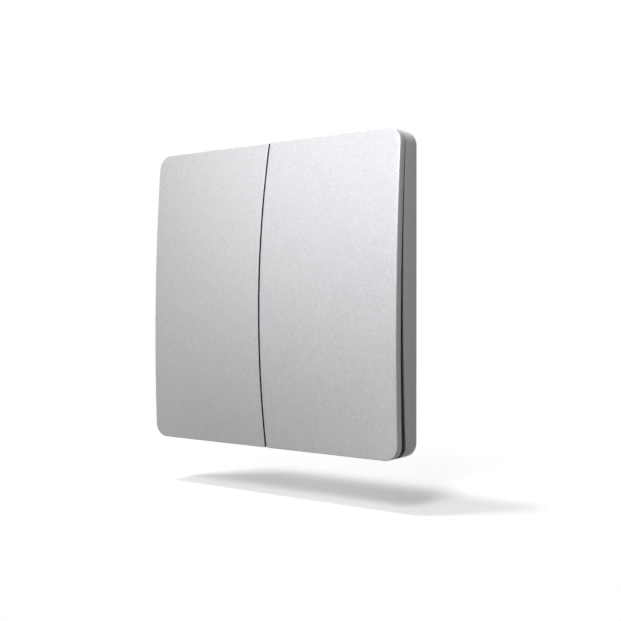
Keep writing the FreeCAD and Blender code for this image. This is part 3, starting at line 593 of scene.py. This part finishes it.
def chip_finish(column):
    """Ceramic between tinned caps. The caps are told by their distance from the middle of the column."""
    material, tree, shader = new_material("chip_ceramic")
    aside = calculate(tree, "ABSOLUTE", split(tree, object_vector(tree))["X"])
    reach = calculate(tree, "ABSOLUTE", calculate(tree, "SUBTRACT", aside, column))
    cap = calculate(tree, "GREATER_THAN", reach, CHIP_LENGTH / 2 - CHIP_CAP - 0.001 * MM)
    grain = use_group(tree, brushed_metal, Streak=(0.1 * MM,) * 3, Shade_Change=0.2)
    coat(tree, shader, blend_colors(tree, cap, CERAMIC, TIN), grain["Shade"],
         calculate(tree, "MULTIPLY_ADD", cap, -0.2, 0.5))
    tree.links.new(cap, shader.inputs["Metallic"])
    return material


chip_low, chip_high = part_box("chip_capacitors")
chip_column = chip_high.x - CHIP_LENGTH / 2
chips = grow(
    "chip_capacitors_capped", set_out_in_grid, chip_mesh(CHIP_WIDTH, chip_high.y - chip_low.y),
    Rows=CHIP_ROWS, Column_Pitch=2 * chip_column,
    Row_Pitch=(chip_high.z - chip_low.z - CHIP_WIDTH) / (CHIP_ROWS - 1),
    Centre=(0.0, chip_high.y, (chip_low.z + chip_high.z) / 2), Material=chip_finish(chip_column),
)
settle(chips, 0, "base", "chip_ceramic", "chip_capacitors")


# Crystal
# A quartz crystal in a seam-welded metal lid on a ceramic tray. It is soldered to the board below the radio.

SHIELD_COLOR = (0.70, 0.70, 0.68)

shield_metal = bare_metal("shield_metal", SHIELD_COLOR, (3.0, 0.08, 0.08), 0.28)
dress("crystal", shield_metal, 0.1)


# Radio board and shield
# A small blue board with its own tracks, soldered flat on the circuit board. A can folded from tinned steel
# sheet is soldered over it to keep stray signals out.

dress("radio_board", masked_board("radio_board_blue", (0.02, 0.06, 0.22), (0.04, 0.12, 0.34)))
dress("radio_shield", shield_metal, 0.15)


# Indicator light
# A flat white light chip: yellow phosphor in a white reflector cup, soldered to the board's lower end.

LED_WHITE = (0.85, 0.85, 0.82)
PHOSPHOR = (0.85, 0.68, 0.10)
PHOSPHOR_RADIUS = 0.42 * MM
SPECKLE_PER_METRE = (9000.0,) * 3


def middle_of(node):
    low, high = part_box(node)
    return (low + high) / 2


def make_distance_group():
    """Soft disc about an axis that runs out from the wall, and the distance from that axis."""
    tree, start = new_tree("ShaderNodeTree", "disc_about_axis", Vector="Vector", Centre=(0.0, 0.0, 0.0),
                           Radius=1.0 * MM, Softness=0.02 * MM)
    offset = vector_step(tree, "SUBTRACT", start["Vector"], start["Centre"])
    distance = vector_step(tree, "LENGTH", vector_step(tree, "MULTIPLY", offset, (1.0, 0.0, 1.0)))
    depth = calculate(tree, "SUBTRACT", start["Radius"], distance)
    inside = calculate(tree, "DIVIDE", depth, start["Softness"])
    inside.node.use_clamp = True
    return close_tree(tree, Inside=inside, Distance=distance)


disc_about_axis = make_distance_group()


def led_finish():
    material, tree, shader = new_material("led_white")
    disc = use_group(tree, disc_about_axis, Centre=middle_of("indicator_led"), Radius=PHOSPHOR_RADIUS)
    speckle = noise(tree, vector_step(tree, "MULTIPLY", object_vector(tree), SPECKLE_PER_METRE))
    coat(tree, shader, blend_colors(tree, disc["Inside"], LED_WHITE, PHOSPHOR), swing(tree, speckle, 0.2),
         calculate(tree, "MULTIPLY_ADD", disc["Inside"], -0.15, 0.35))
    return material


dress("indicator_led", led_finish(), 0.06)


# Light pipe
# A clear stem with a collar, moulded in acrylic and pressed into the deck over the indicator light.

PIPE_COLOR = (0.92, 0.95, 0.96)
FLOW_PER_METRE = (700.0, 250.0, 700.0)


def clear_acrylic():
    material, tree, shader = new_material("clear_acrylic")
    waves = noise(tree, vector_step(tree, "MULTIPLY", object_vector(tree), FLOW_PER_METRE))
    coat(tree, shader, PIPE_COLOR, swing(tree, waves, 0.04), swing(tree, waves, 0.06, 0.08))
    shader.inputs["IOR"].default_value = 1.49
    shader.inputs["Transmission Weight"].default_value = 1.0
    add_bump(tree, shader, waves, 0.01 * MM, 0.2)
    return material


dress("light_pipe", clear_acrylic(), 0.1)


# Cell holder
# A black moulded ring with a floor, soldered to the board. The coin cell drops into it, and the mouth at its
# lower side lets a fingernail lift the cell out.

MELT_PER_METRE = (120.0,) * 3


def make_grain_group():
    """Spark-eroded grain of a mould, printed on the plastic: small bumps, with a faint change of shade."""
    tree, start = new_tree("ShaderNodeTree", "moulded_grain", Vector="Vector", Grain=0.12 * MM,
                           Shade_Change=0.08, Roughness=0.55, Sheen_Change=0.15)
    fine = noise(tree, vector_step(tree, "DIVIDE", start["Vector"], start["Grain"]))
    flow = noise(tree, vector_step(tree, "MULTIPLY", start["Vector"], MELT_PER_METRE), 1.0)
    rough = swing(tree, fine, start["Sheen Change"], start["Roughness"])
    return close_tree(tree, Shade=swing(tree, flow, start["Shade Change"]), Roughness=rough, Height=fine)


moulded_grain = make_grain_group()


def moulded_plastic(name, color, roughness, grain_mm=0.12, depth_mm=0.02):
    return grained(name, 0.0, color, moulded_grain, depth_mm * MM, 0.4, Grain=grain_mm * MM,
                   Roughness=roughness)


dress("cell_holder", moulded_plastic("holder_black", (0.03, 0.03, 0.032), 0.55), 0.1)


# Contacts of the cell
# Two strips of nickel-plated spring bronze, stamped and folded. One stands on the board and reaches over the
# cell's edge, and the other lies on the holder's floor under the cell.

contact_metal = bare_metal("contact_metal", (0.75, 0.72, 0.62), (0.06, 0.06, 1.5), 0.26)
for contact in ("negative_contact", "positive_contact"):
    dress(contact, contact_metal, 0.04)


# Coin cell
# A lithium cell in a pressed steel can. Its open face is turned on a lathe, which leaves fine rings about the
# middle of the can.

CELL_COLOR = (0.72, 0.72, 0.70)
RING_PITCH = 0.09 * MM
CAN_FACE_RADIUS = 7.6 * MM


def turned_can():
    material, tree, shader = new_material("cell_metal", 1.0)
    disc = use_group(tree, disc_about_axis, Centre=middle_of("coin_cell"), Radius=CAN_FACE_RADIUS,
                     Softness=0.3 * MM)
    along = place(tree, "ShaderNodeCombineXYZ", X=calculate(tree, "DIVIDE", disc["Distance"], RING_PITCH))
    scratches = noise(tree, along.outputs[0], 1.0)
    rough = calculate(tree, "MULTIPLY_ADD", disc["Inside"], 0.08, 0.24)
    coat(tree, shader, CELL_COLOR, swing(tree, scratches, 0.14),
         calculate(tree, "MULTIPLY_ADD", scratches, 0.1, rough))
    add_bump(tree, shader, scratches, 0.004 * MM, 0.3)
    return material


dress("coin_cell", turned_can(), 0.12)


# Push switches
# Two tact switches, each a black moulded body under a stainless cover that four moulded rivets hold, with
# four tinned legs soldered to the board and a brown plunger in the middle.

RIVET_RADIUS = 0.42 * MM
RIVET_RISE = 0.16 * MM
RIVET_PITCH = 4.3 * MM

switch_black = moulded_plastic("switch_black", (0.028, 0.028, 0.03), 0.5, 0.1)
cover_steel = bare_metal("cover_steel", SHIELD_COLOR, (2.0, 0.06, 0.06), 0.3, 0.16)
plunger_brown = moulded_plastic("plunger_brown", (0.25, 0.13, 0.07), 0.38, 0.15)


def rivet_mesh():
    """Low dome of one rivet, with its foot on the wall's plane."""
    return lofted("rivet", [circle(0, 0, RIVET_RADIUS - inset, RIVET_RISE - drop, 16)
                            for inset, drop in rounding(RIVET_RISE, 4)])


for side in ("left", "right"):
    dress(side + "_switch_body", switch_black, 0.08)
    dress(side + "_switch_cover", cover_steel, 0.05)
    dress(side + "_switch_legs", contact_metal, 0.04)
    dress(side + "_plunger", plunger_brown, 0.15)
    cover_middle = middle_of(side + "_switch_cover")
    cover_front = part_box(side + "_switch_cover")[0].y
    rivets = grow(
        side + "_switch_rivets", set_out_in_grid, rivet_mesh(), Rows=2, Column_Pitch=RIVET_PITCH,
        Row_Pitch=RIVET_PITCH, Centre=(cover_middle.x, cover_front, cover_middle.z), Material=switch_black,
    )
    settle(rivets, 50, "base", "switch_black")


# Key carrier
# A grey moulded deck with an upright wall round it, hinge lugs for the keys and cups for their springs. It
# closes the housing, and its wall is what shows through the gap beside the keys.

dress("key_carrier", moulded_plastic("carrier_grey", (0.30, 0.30, 0.31), 0.55, 0.16), 0.1)


# Carrier screws
# Four longer screws of the same kind, driven through the deck into the pillars at the corners of the housing.

carrier_low, carrier_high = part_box("carrier_screws")
screw_set("carrier_screws", 2, carrier_high.z - carrier_low.z - 2 * SCREW_HEAD_RADIUS, 8)


# Bumper pads
# Two rubber discs with rounded shoulders, glued to the deck under the keys' stops, so that the keys land
# softly.

BUMPER_SHOULDER = 0.35 * MM

bumper_low, bumper_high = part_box("bumper_pads")
bumper_radius = (bumper_high.z - bumper_low.z) / 2
bumper_rise = bumper_high.y - bumper_low.y


def bumper_mesh():
    rings = [circle(0, 0, bumper_radius - inset, bumper_rise - drop)
             for inset, drop in rounding(BUMPER_SHOULDER, 4)]
    return lofted("bumper", rings + [circle(0, 0, bumper_radius, 0)])


bumpers = grow(
    "bumper_pads_rounded", set_out_in_grid, bumper_mesh(),
    Column_Pitch=bumper_high.x - bumper_low.x - 2 * bumper_radius,
    Centre=(0.0, bumper_high.y, (bumper_low.z + bumper_high.z) / 2),
    Material=moulded_plastic("bumper_rubber", (0.08, 0.08, 0.08), 0.8, 0.2, 0.03),
)
settle(bumpers, 50, "base", "bumper_rubber", "bumper_pads")


# Return springs
# Two compression springs of drawn steel wire that stand in the deck's cups and lift the keys. Their ends are
# wound closer than their middle, and they shorten as a key is pressed.

WIRE_RADIUS = 0.2 * MM
COIL_RADIUS = 2.3 * MM
COIL_TURNS = 3.5
COIL_CLOSING = 0.45

spring_steel = bare_metal("spring_steel", (0.66, 0.66, 0.64), (0.2, 0.2, 0.2), 0.25, 0.1)


def make_coil_tree():
    """Coil of round wire about an axis that runs out from the wall."""
    tree, start = new_tree(
        "GeometryNodeTree", "coil_spring", Coil_Radius=COIL_RADIUS, Wire_Radius=WIRE_RADIUS, Height=5.0 * MM,
        Turns=COIL_TURNS, Closing=COIL_CLOSING, Foot=(0.0, 0.0, 0.0), Material="Material",
    )
    spiral = place(
        tree, "GeometryNodeCurveSpiral", Resolution=36, Rotations=start["Turns"],
        Start_Radius=start["Coil Radius"], End_Radius=start["Coil Radius"], Height=start["Height"],
    )
    share = place(tree, "GeometryNodeSplineParameter").outputs["Factor"]
    wave = calculate(tree, "SINE", calculate(tree, "MULTIPLY", share, 2 * math.pi))
    lift = calculate(tree, "MULTIPLY", calculate(tree, "MULTIPLY", wave, start["Closing"]), start["Height"])
    shift = place(tree, "ShaderNodeCombineXYZ", Z=calculate(tree, "DIVIDE", lift, -2 * math.pi))
    closed = place(tree, "GeometryNodeSetPosition", Geometry=spiral.outputs[0], Offset=shift.outputs[0])
    wire = place(tree, "GeometryNodeCurvePrimitiveCircle", {"mode": "RADIUS"}, Resolution=12,
                 Radius=start["Wire Radius"])
    coil = place(tree, "GeometryNodeCurveToMesh", Curve=closed.outputs[0], Profile_Curve=wire.outputs[0],
                 Fill_Caps=True)
    stand = place(tree, "GeometryNodeTransform", Geometry=coil.outputs[0], Translation=start["Foot"],
                  Rotation=(math.pi / 2, 0.0, 0.0))
    return close_real(tree, stand.outputs[0], start["Material"])


coil_spring = make_coil_tree()
for side in ("left", "right"):
    spring_low, spring_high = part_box(side + "_return_spring")
    axis = middle_of(side + "_return_spring")
    spring = grow(
        side + "_return_spring_wire", coil_spring, Height=spring_high.y - spring_low.y - 2 * WIRE_RADIUS,
        Foot=(middle_of(side + "_plunger").x, spring_high.y - WIRE_RADIUS, axis.z), Material=spring_steel,
    )
    settle(spring, 60, "base", "spring_steel", side + "_return_spring")
    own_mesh(spring)


# Keys
# Two crowned shells, each moulded in one piece with its ribs, hinge arms, hooks and studs, and sprayed satin
# silver. Each is modelled closed and flat, swollen by the crown's rule, and tilted out about its hinge.

PLATE_HALF = 43.0 * MM
CENTRE_CROWN = 4.0 * MM
SIDE_CROWN = 1.5 * MM
KEY_LEFT = 0.225 * MM
KEY_REAR = 6.1 * MM
KEY_FRONT = 8.5 * MM
KEY_WALL = 1.2 * MM
KEY_EDGE = 0.24 * MM
KEY_LIP = 0.12 * MM
KEY_CORNER = 4.0 * MM
SPLIT_CORNER = 0.4 * MM
KEY_MIDDLE = (KEY_LEFT + PLATE_HALF) / 2
KEY_RIB = 0.9 * MM
REST_TILT = math.radians(1.19)
PRESS_ANGLE = math.radians(1.0)
HINGE_INSET = 8.0 * MM
HINGE_GAP = 0.3 * MM
LUG_WIDTH = 2.4 * MM
ARM_THICKNESS = 1.4 * MM
ARM_RADIUS = 1.5 * MM
TRUNNION_RADIUS = 0.95 * MM
HEADROOM = 0.2 * MM
HOOK_Z = -36.4 * MM
HOOK_INSET = 12.0 * MM
HOOK_WIDTH = 4.0 * MM
HOOK_STEM = 1.1 * MM
HOOK_GAP = 0.1 * MM
BARB_REACH = 0.9 * MM
BARB_THICKNESS = 0.8 * MM
STUD_RADIUS = 1.5 * MM
STUD_GAP = 0.1 * MM
STOP_GAP = 0.08 * MM
SEAT_RADIUS = 2.7 * MM
ROOM_RADIUS = 2.85 * MM
GUIDE_RADIUS = 1.75 * MM
GUIDE_LENGTH = 1.4 * MM
# Painted shade: the walls of the split between the keys are painted near black in place of the shade that
# falls in the gap.
SPLIT_SHADE_DARK = (0.05, 0.05, 0.052)
SPLIT_SHADE_MARGIN = 0.03 * MM
SPLIT_SHADE_FADE = 0.08 * MM

hinge = Vector(frame["joints"][0]["pos_m"])


def split_shade_mask(tree):
    """The keys are silver all over, except on the walls of the narrow split between them, which get a
    near-black colour as painted shade.
    """
    aside = calculate(tree, "ABSOLUTE", split(tree, object_vector(tree))["X"])
    return calculate(tree, "DIVIDE", calculate(tree, "SUBTRACT", aside, KEY_LEFT + SPLIT_SHADE_MARGIN), SPLIT_SHADE_FADE)


key_paint = satin_silver("key_paint", SPLIT_SHADE_DARK, split_shade_mask)


def make_crown_tree():
    """Swells a flat piece towards the room by the rule of the plate's crown."""
    tree, start = new_tree(
        "GeometryNodeTree", "crown_rule", Geometry="Geometry", Half_Size=PLATE_HALF, Centre_Rise=CENTRE_CROWN,
        Side_Rise=SIDE_CROWN, Material="Material",
    )
    parts = split(tree, place(tree, "GeometryNodeInputPosition").outputs[0])
    squares = []
    for axis in "XZ":
        share = calculate(tree, "DIVIDE", calculate(tree, "ABSOLUTE", parts[axis]), start["Half Size"])
        squares.append(calculate(tree, "POWER", share, 2.0))
    fall = calculate(tree, "SUBTRACT", start["Centre Rise"], start["Side Rise"])
    rise = calculate(tree, "SUBTRACT", start["Centre Rise"], calculate(tree, "MULTIPLY", fall, squares[0]))
    swell = calculate(tree, "MULTIPLY", rise, calculate(tree, "SUBTRACT", squares[1], 1.0))
    offset = place(tree, "ShaderNodeCombineXYZ", Y=swell).outputs[0]
    moved = place(tree, "GeometryNodeSetPosition", Geometry=start["Geometry"], Offset=offset)
    return close_real(tree, moved.outputs[0], start["Material"])


crown_rule = make_crown_tree()


def pull_in(radius, drop):
    """How far a rounded corner pulls the end of a row in, at a distance from the plate's end."""
    if drop >= radius:
        return 0.0
    return radius - math.sqrt(max(radius ** 2 - (radius - drop) ** 2, 0.0))


def plate_rows(plate, inset, depth):
    """Rows of points over a plate, at an inset from its outline. A plate is its sides, the radii of its left
    and right corners, and its numbers of columns and rows. More rows lie along the corners."""
    (x0, x1, z0, z1), radii, columns, count = plate
    x0, x1, z0, z1 = x0 + inset, x1 - inset, z0 + inset, z1 - inset
    left, right = (max(radius - inset, 0.02 * MM) for radius in radii)
    ends = sorted({pull for radius in (left, right) for pull, drop in rounding(radius, 8)})
    middle = (z1 - z0) - 2 * ends[-1]
    heights = [z0 + drop for drop in ends]
    heights += [z0 + ends[-1] + middle * index / count for index in range(1, count)]
    heights += [z1 - drop for drop in reversed(ends)]
    rows = []
    for z in heights:
        drop = min(z - z0, z1 - z)
        low = x0 + pull_in(left, drop)
        high = x1 - pull_in(right, drop)
        rows.append([(low + (high - low) * index / columns, -depth, z) for index in range(columns + 1)])
    return rows


def outline(rows):
    """The outer points of a grid, as a closed run."""
    right = [row[-1] for row in rows[1:-1]]
    left = [row[0] for row in rows[-2:0:-1]]
    return rows[0] + right + rows[-1][::-1] + left


def add_face(mesh, plate, inset, depth):
    """Adds a plate's filled grid to a bmesh. Returns its outer points."""
    rows = [[mesh.verts.new(point) for point in row] for row in plate_rows(plate, inset, depth)]
    for row, following in zip(rows, rows[1:]):
        for corners in zip(row, row[1:], following[1:], following):
            mesh.faces.new(corners)
    return outline(rows)


def key_shell_mesh():
    """Shell of the right key in its flat form: front, rounded edge, band, lip and hollow."""
    sides = (KEY_LEFT, PLATE_HALF, -PLATE_HALF, PLATE_HALF)
    plate = (sides, (SPLIT_CORNER, KEY_CORNER), 30, 44)
    steps = [(inset, KEY_FRONT - drop) for inset, drop in rounding(KEY_EDGE, 5)[1:]]
    steps += [(inset, KEY_REAR + drop) for inset, drop in reversed(rounding(KEY_LIP, 3))]
    steps += [(KEY_WALL, KEY_REAR), (KEY_WALL, KEY_FRONT - KEY_WALL)]
    mesh = bmesh.new()
    ring = add_face(mesh, plate, KEY_EDGE, KEY_FRONT)
    for inset, depth in steps:
        following = [mesh.verts.new(point) for point in outline(plate_rows(plate, inset, depth))]
        bridge(mesh, ring, following)
        ring = following
    add_face(mesh, plate, KEY_WALL, KEY_FRONT - KEY_WALL)
    return finished_mesh(mesh, "key_shell")


def add_block(mesh, sides, rear, front, cuts):
    """Adds a closed box, cut into cells along X and Z so that it can follow the crown."""
    plate = (sides, (0.0, 0.0), *cuts)
    bridge(mesh, add_face(mesh, plate, 0.0, front), add_face(mesh, plate, 0.0, rear))


def key_rib_mesh():
    """Ribs behind the shell: one upright and two level ones, rooted in the wall."""
    root = KEY_FRONT - KEY_WALL / 2
    reach = PLATE_HALF - KEY_WALL / 2
    half = KEY_RIB / 2
    pitch = (2 * PLATE_HALF - 2 * KEY_WALL + KEY_RIB) / 3
    mesh = bmesh.new()
    add_block(mesh, (KEY_MIDDLE - half, KEY_MIDDLE + half, -reach, reach), KEY_REAR, root, (1, 40))
    for z in (-pitch / 2, pitch / 2):
        add_block(mesh, (KEY_LEFT + KEY_WALL / 2, reach, z - half, z + half), KEY_REAR, root, (20, 1))
    return finished_mesh(mesh, "key_ribs")


def round_post(mesh, z, radius, rear, front, soft=0.15 * MM):
    """Adds a round post at the key's middle that runs out from the wall, with a softened rear end."""
    rings = [circle(KEY_MIDDLE, z, radius - inset, rear + drop) for inset, drop in rounding(soft, 3)]
    loft(mesh, rings + [circle(KEY_MIDDLE, z, radius, front)])


def prism_along_x(mesh, section, x0, x1):
    """Adds a straight-sided section of (depth, height) corners, drawn along X."""
    loft(mesh, [[(x, -depth, z) for depth, z in section] for x in (x0, x1)])


def level_bar(mesh, x0, x1, radius):
    """Adds a round bar along X on the hinge's axis."""
    section = [(-y, z) for z, _, y in circle(hinge.z, hinge.y, radius, 0, 24)]
    prism_along_x(mesh, section, x0, x1)


def closed_depth(depth, z, tilt):
    """Depth in the closed key of what lies at this depth once the key is tilted out."""
    lever = hinge.z - z
    return -hinge.y + ((depth + hinge.y) - lever * math.sin(tilt)) / math.cos(tilt)


def wall_depth(x, z):
    """Depth at the middle of the closed key's wall."""
    rise = CENTRE_CROWN - (CENTRE_CROWN - SIDE_CROWN) * (x / PLATE_HALF) ** 2
    return KEY_FRONT - KEY_WALL / 2 + rise * (1 - (z / PLATE_HALF) ** 2)


def add_arms(mesh):
    """Hinge arms that reach back through the carrier, each with a trunnion at its end."""
    for lug_x, side in ((KEY_LEFT + HINGE_INSET, 1), (PLATE_HALF - HINGE_INSET, -1)):
        near = lug_x + side * (LUG_WIDTH / 2 + HINGE_GAP)
        far = near + side * ARM_THICKNESS
        low, high = sorted((near, far))
        root = wall_depth(lug_x, hinge.z)
        section = ((-hinge.y, hinge.z - ARM_RADIUS), (-hinge.y, hinge.z + ARM_RADIUS),
                   (root, hinge.z + ARM_RADIUS), (root, hinge.z - ARM_RADIUS))
        prism_along_x(mesh, section, low, high)
        level_bar(mesh, low, high, ARM_RADIUS)
        tip = lug_x - side * (LUG_WIDTH / 2 - HINGE_GAP)
        level_bar(mesh, *sorted((tip, far)), TRUNNION_RADIUS)


def add_hooks(mesh):
    """Snap hooks whose barbs are held behind the carrier's deck."""
    deck_rear = -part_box("board_screws")[0].y + HEADROOM
    catch = closed_depth(deck_rear - HOOK_GAP, HOOK_Z, REST_TILT)
    tip = catch - BARB_THICKNESS
    top = HOOK_Z + HOOK_STEM
    barb = HOOK_Z - BARB_REACH
    for x in (KEY_LEFT + HOOK_INSET, PLATE_HALF - HOOK_INSET):
        root = wall_depth(x, HOOK_Z)
        section = ((root, top), (tip, top), (tip, HOOK_Z), (catch - BARB_THICKNESS / 2, barb), (catch, barb),
                   (catch, HOOK_Z), (root, HOOK_Z))
        prism_along_x(mesh, section, x - HOOK_WIDTH / 2, x + HOOK_WIDTH / 2)


spring_top = -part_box("right_return_spring")[0].y
spring_z = middle_of("right_return_spring").z
seat_depth = closed_depth(spring_top + STUD_GAP, spring_z, REST_TILT)


def add_studs(mesh):
    """Pusher over the switch, seat and guide of the spring, and stop over the bumper pad."""
    z = middle_of("right_plunger").z
    plunger_top = -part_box("right_plunger")[0].y
    pusher = closed_depth(plunger_top + STUD_GAP, z, REST_TILT)
    round_post(mesh, z, STUD_RADIUS, pusher, wall_depth(KEY_MIDDLE, z))
    round_post(mesh, spring_z, SEAT_RADIUS, seat_depth, wall_depth(KEY_MIDDLE, spring_z))
    round_post(mesh, spring_z, GUIDE_RADIUS, seat_depth - GUIDE_LENGTH, seat_depth + KEY_WALL / 2, 0.4 * MM)
    z = middle_of("bumper_pads").z
    stop = closed_depth(STOP_GAP - bumper_low.y, z, REST_TILT - PRESS_ANGLE)
    round_post(mesh, z, STUD_RADIUS, stop, wall_depth(KEY_MIDDLE, z))


def right_key_piece():
    """Shell and ribs swollen by the crown, joined with what stands on them, and tilted out to rest."""
    key = grow("right_key_shell", crown_rule, key_shell_mesh(), Material=key_paint)
    ribs = grow("key_ribs", crown_rule, key_rib_mesh(), Material=key_paint)
    room = bmesh.new()
    round_post(room, spring_z, ROOM_RADIUS, 0.0, seat_depth)
    combine(ribs, link_piece("spring_room", finished_mesh(room, "spring_room")), "DIFFERENCE")
    combine(key, ribs, "UNION")
    fittings = bmesh.new()
    add_arms(fittings)
    add_hooks(fittings)
    add_studs(fittings)
    combine(key, link_piece("key_fittings", finished_mesh(fittings, "key_fittings")), "UNION")
    turn = Matrix.Translation(hinge) @ Matrix.Rotation(-REST_TILT, 4, "X") @ Matrix.Translation(-hinge)
    key.data.transform(turn)
    key.data.materials.clear()
    key.data.materials.append(key_paint)
    return key


def mirrored_piece(piece, name):
    mesh = bmesh.new()
    mesh.from_mesh(piece.data)
    bmesh.ops.scale(mesh, vec=(-1.0, 1.0, 1.0), verts=mesh.verts)
    bmesh.ops.reverse_faces(mesh, faces=mesh.faces)
    data = bpy.data.meshes.new(name)
    mesh.to_mesh(data)
    mesh.free()
    data.materials.append(piece.data.materials[0])
    return link_piece(name, data)


right_shell = right_key_piece()
left_shell = mirrored_piece(right_shell, "left_key_shell")
for piece, body in ((right_shell, "right_key"), (left_shell, "left_key")):
    settle(piece, 35, body, "key_silver", body)


# Floor, backdrop, lights and camera
# The switch floats a little above a plain pale floor in a white surround. A lamp near its front, a wide one
# farther out and a high one at the front left light it, and a fourth one lights its rear.

FLOOR_Z = -56.8 * MM
FLOOR_HALF = 3.0
FLOOR_SEEN = 0.83
FLOOR_BOUNCE = 0.05
FLOOR_LIFT = 0.32
SHADOW_MIDDLE = (14 * MM, 0.0, FLOOR_Z)
SHADOW_REACH = (38 * MM, 100 * MM)
CAMERA_PLACE = Vector((164.21, -214.40, -3.28)) * MM
CAMERA_YAW = 0.629
CAMERA_PITCH = -0.004
FOCAL_PIXELS = 930.57
IMAGE_PIXELS = 621
WORLD_STRENGTH = 0.06
PLAIN_WHITE = (1.0, 1.0, 1.0, 1.0)
COOL_WHITE = (0.99, 0.985, 1.04)
WARM_WHITE = (1.0, 0.99, 0.985)
LAMPS = (
    ("key_light", (60, -138, 97), (60, 60), 0.236, COOL_WHITE),
    ("fill_light", (43, -420, 200), (200, 200), 0.268, WARM_WHITE),
    ("top_light", (-165, -185, 730), (130, 110), 4.1, WARM_WHITE),
    ("back_light", (-250, 290, 5), (200, 200), 0.95, WARM_WHITE),
)


def add_camera():
    data = bpy.data.cameras.new("camera")
    data.sensor_width = 36.0
    data.lens = FOCAL_PIXELS / IMAGE_PIXELS * data.sensor_width
    data.clip_start = 0.01
    camera = link_piece("camera", data)
    camera.location = CAMERA_PLACE
    camera.rotation_euler = (math.pi / 2 + CAMERA_PITCH, 0.0, CAMERA_YAW)
    bpy.context.scene.camera = camera


def seen_rays(tree):
    """1 for rays that show the background: straight from the camera, mirrored or through clear plastic."""
    rays = place(tree, "ShaderNodeLightPath").outputs
    seen = calculate(tree, "MAXIMUM", rays["Is Camera Ray"], rays["Is Glossy Ray"])
    return calculate(tree, "MAXIMUM", seen, rays["Is Transmission Ray"])


def mix_out(tree, end, share, first, second):
    """Puts a mix of two shaders out at the tree's end."""
    mix = place(tree, "ShaderNodeMixShader")
    for slot, value in zip(mix.inputs, (share, first.outputs[0], second.outputs[0])):
        tree.links.new(value, slot)
    tree.links.new(mix.outputs[0], tree.nodes[end].inputs["Surface"])


def floor_finish():
    """Matt floor that keeps the object's shadow, and turns to plain white away from it."""
    material, tree, shader = new_material("floor_white")
    shader.inputs["Roughness"].default_value = 1.0
    shader.inputs["Specular IOR Level"].default_value = 0.0
    shader.inputs["Emission Color"].default_value = PLAIN_WHITE
    seen = seen_rays(tree)
    grey = calculate(tree, "MULTIPLY_ADD", seen, FLOOR_SEEN - FLOOR_BOUNCE, FLOOR_BOUNCE)
    tree.links.new(grey, shader.inputs["Base Color"])
    tree.links.new(calculate(tree, "MULTIPLY", seen, FLOOR_LIFT), shader.inputs["Emission Strength"])
    away = vector_step(tree, "DISTANCE", object_vector(tree), SHADOW_MIDDLE)
    near, far = SHADOW_REACH
    fade = place(tree, "ShaderNodeMapRange", Value=away, From_Min=near, From_Max=far).outputs[0]
    white = place(tree, "ShaderNodeEmission", Color=PLAIN_WHITE)
    mix_out(tree, "Material Output", calculate(tree, "MULTIPLY", seen, fade), shader, white)
    return material


def add_floor():
    mesh = bmesh.new()
    level = Matrix.Translation((0, 0, FLOOR_Z))
    bmesh.ops.create_grid(mesh, x_segments=1, y_segments=1, size=FLOOR_HALF, matrix=level)
    data = bpy.data.meshes.new("floor")
    mesh.to_mesh(data)
    mesh.free()
    data.materials.append(floor_finish())
    link_piece("floor", data)


def area_light(name, place_mm, size_mm, power, color):
    """Rectangular lamp that looks at the origin."""
    data = bpy.data.lights.new(name, "AREA")
    data.shape = "RECTANGLE"
    data.size = size_mm[0] * MM
    data.size_y = size_mm[1] * MM
    data.energy = power
    data.color = color
    light = link_piece(name, data)
    light.location = Vector(place_mm) * MM
    light.rotation_euler = (-light.location).to_track_quat("-Z", "Y").to_euler()


def white_surround():
    """World that lights softly, and shows plain white behind the object."""
    world = bpy.data.worlds.new("surround")
    world.use_nodes = True
    tree = world.node_tree
    lit = tree.nodes["Background"]
    shown = place(tree, "ShaderNodeBackground")
    for background, strength in ((lit, WORLD_STRENGTH), (shown, 1.0)):
        background.inputs["Color"].default_value = PLAIN_WHITE
        background.inputs["Strength"].default_value = strength
    mix_out(tree, "World Output", seen_rays(tree), lit, shown)
    bpy.context.scene.world = world


add_camera()
add_floor()
for lamp in LAMPS:
    area_light(*lamp)
white_surround()
bpy.context.scene.view_settings.view_transform = "Standard"
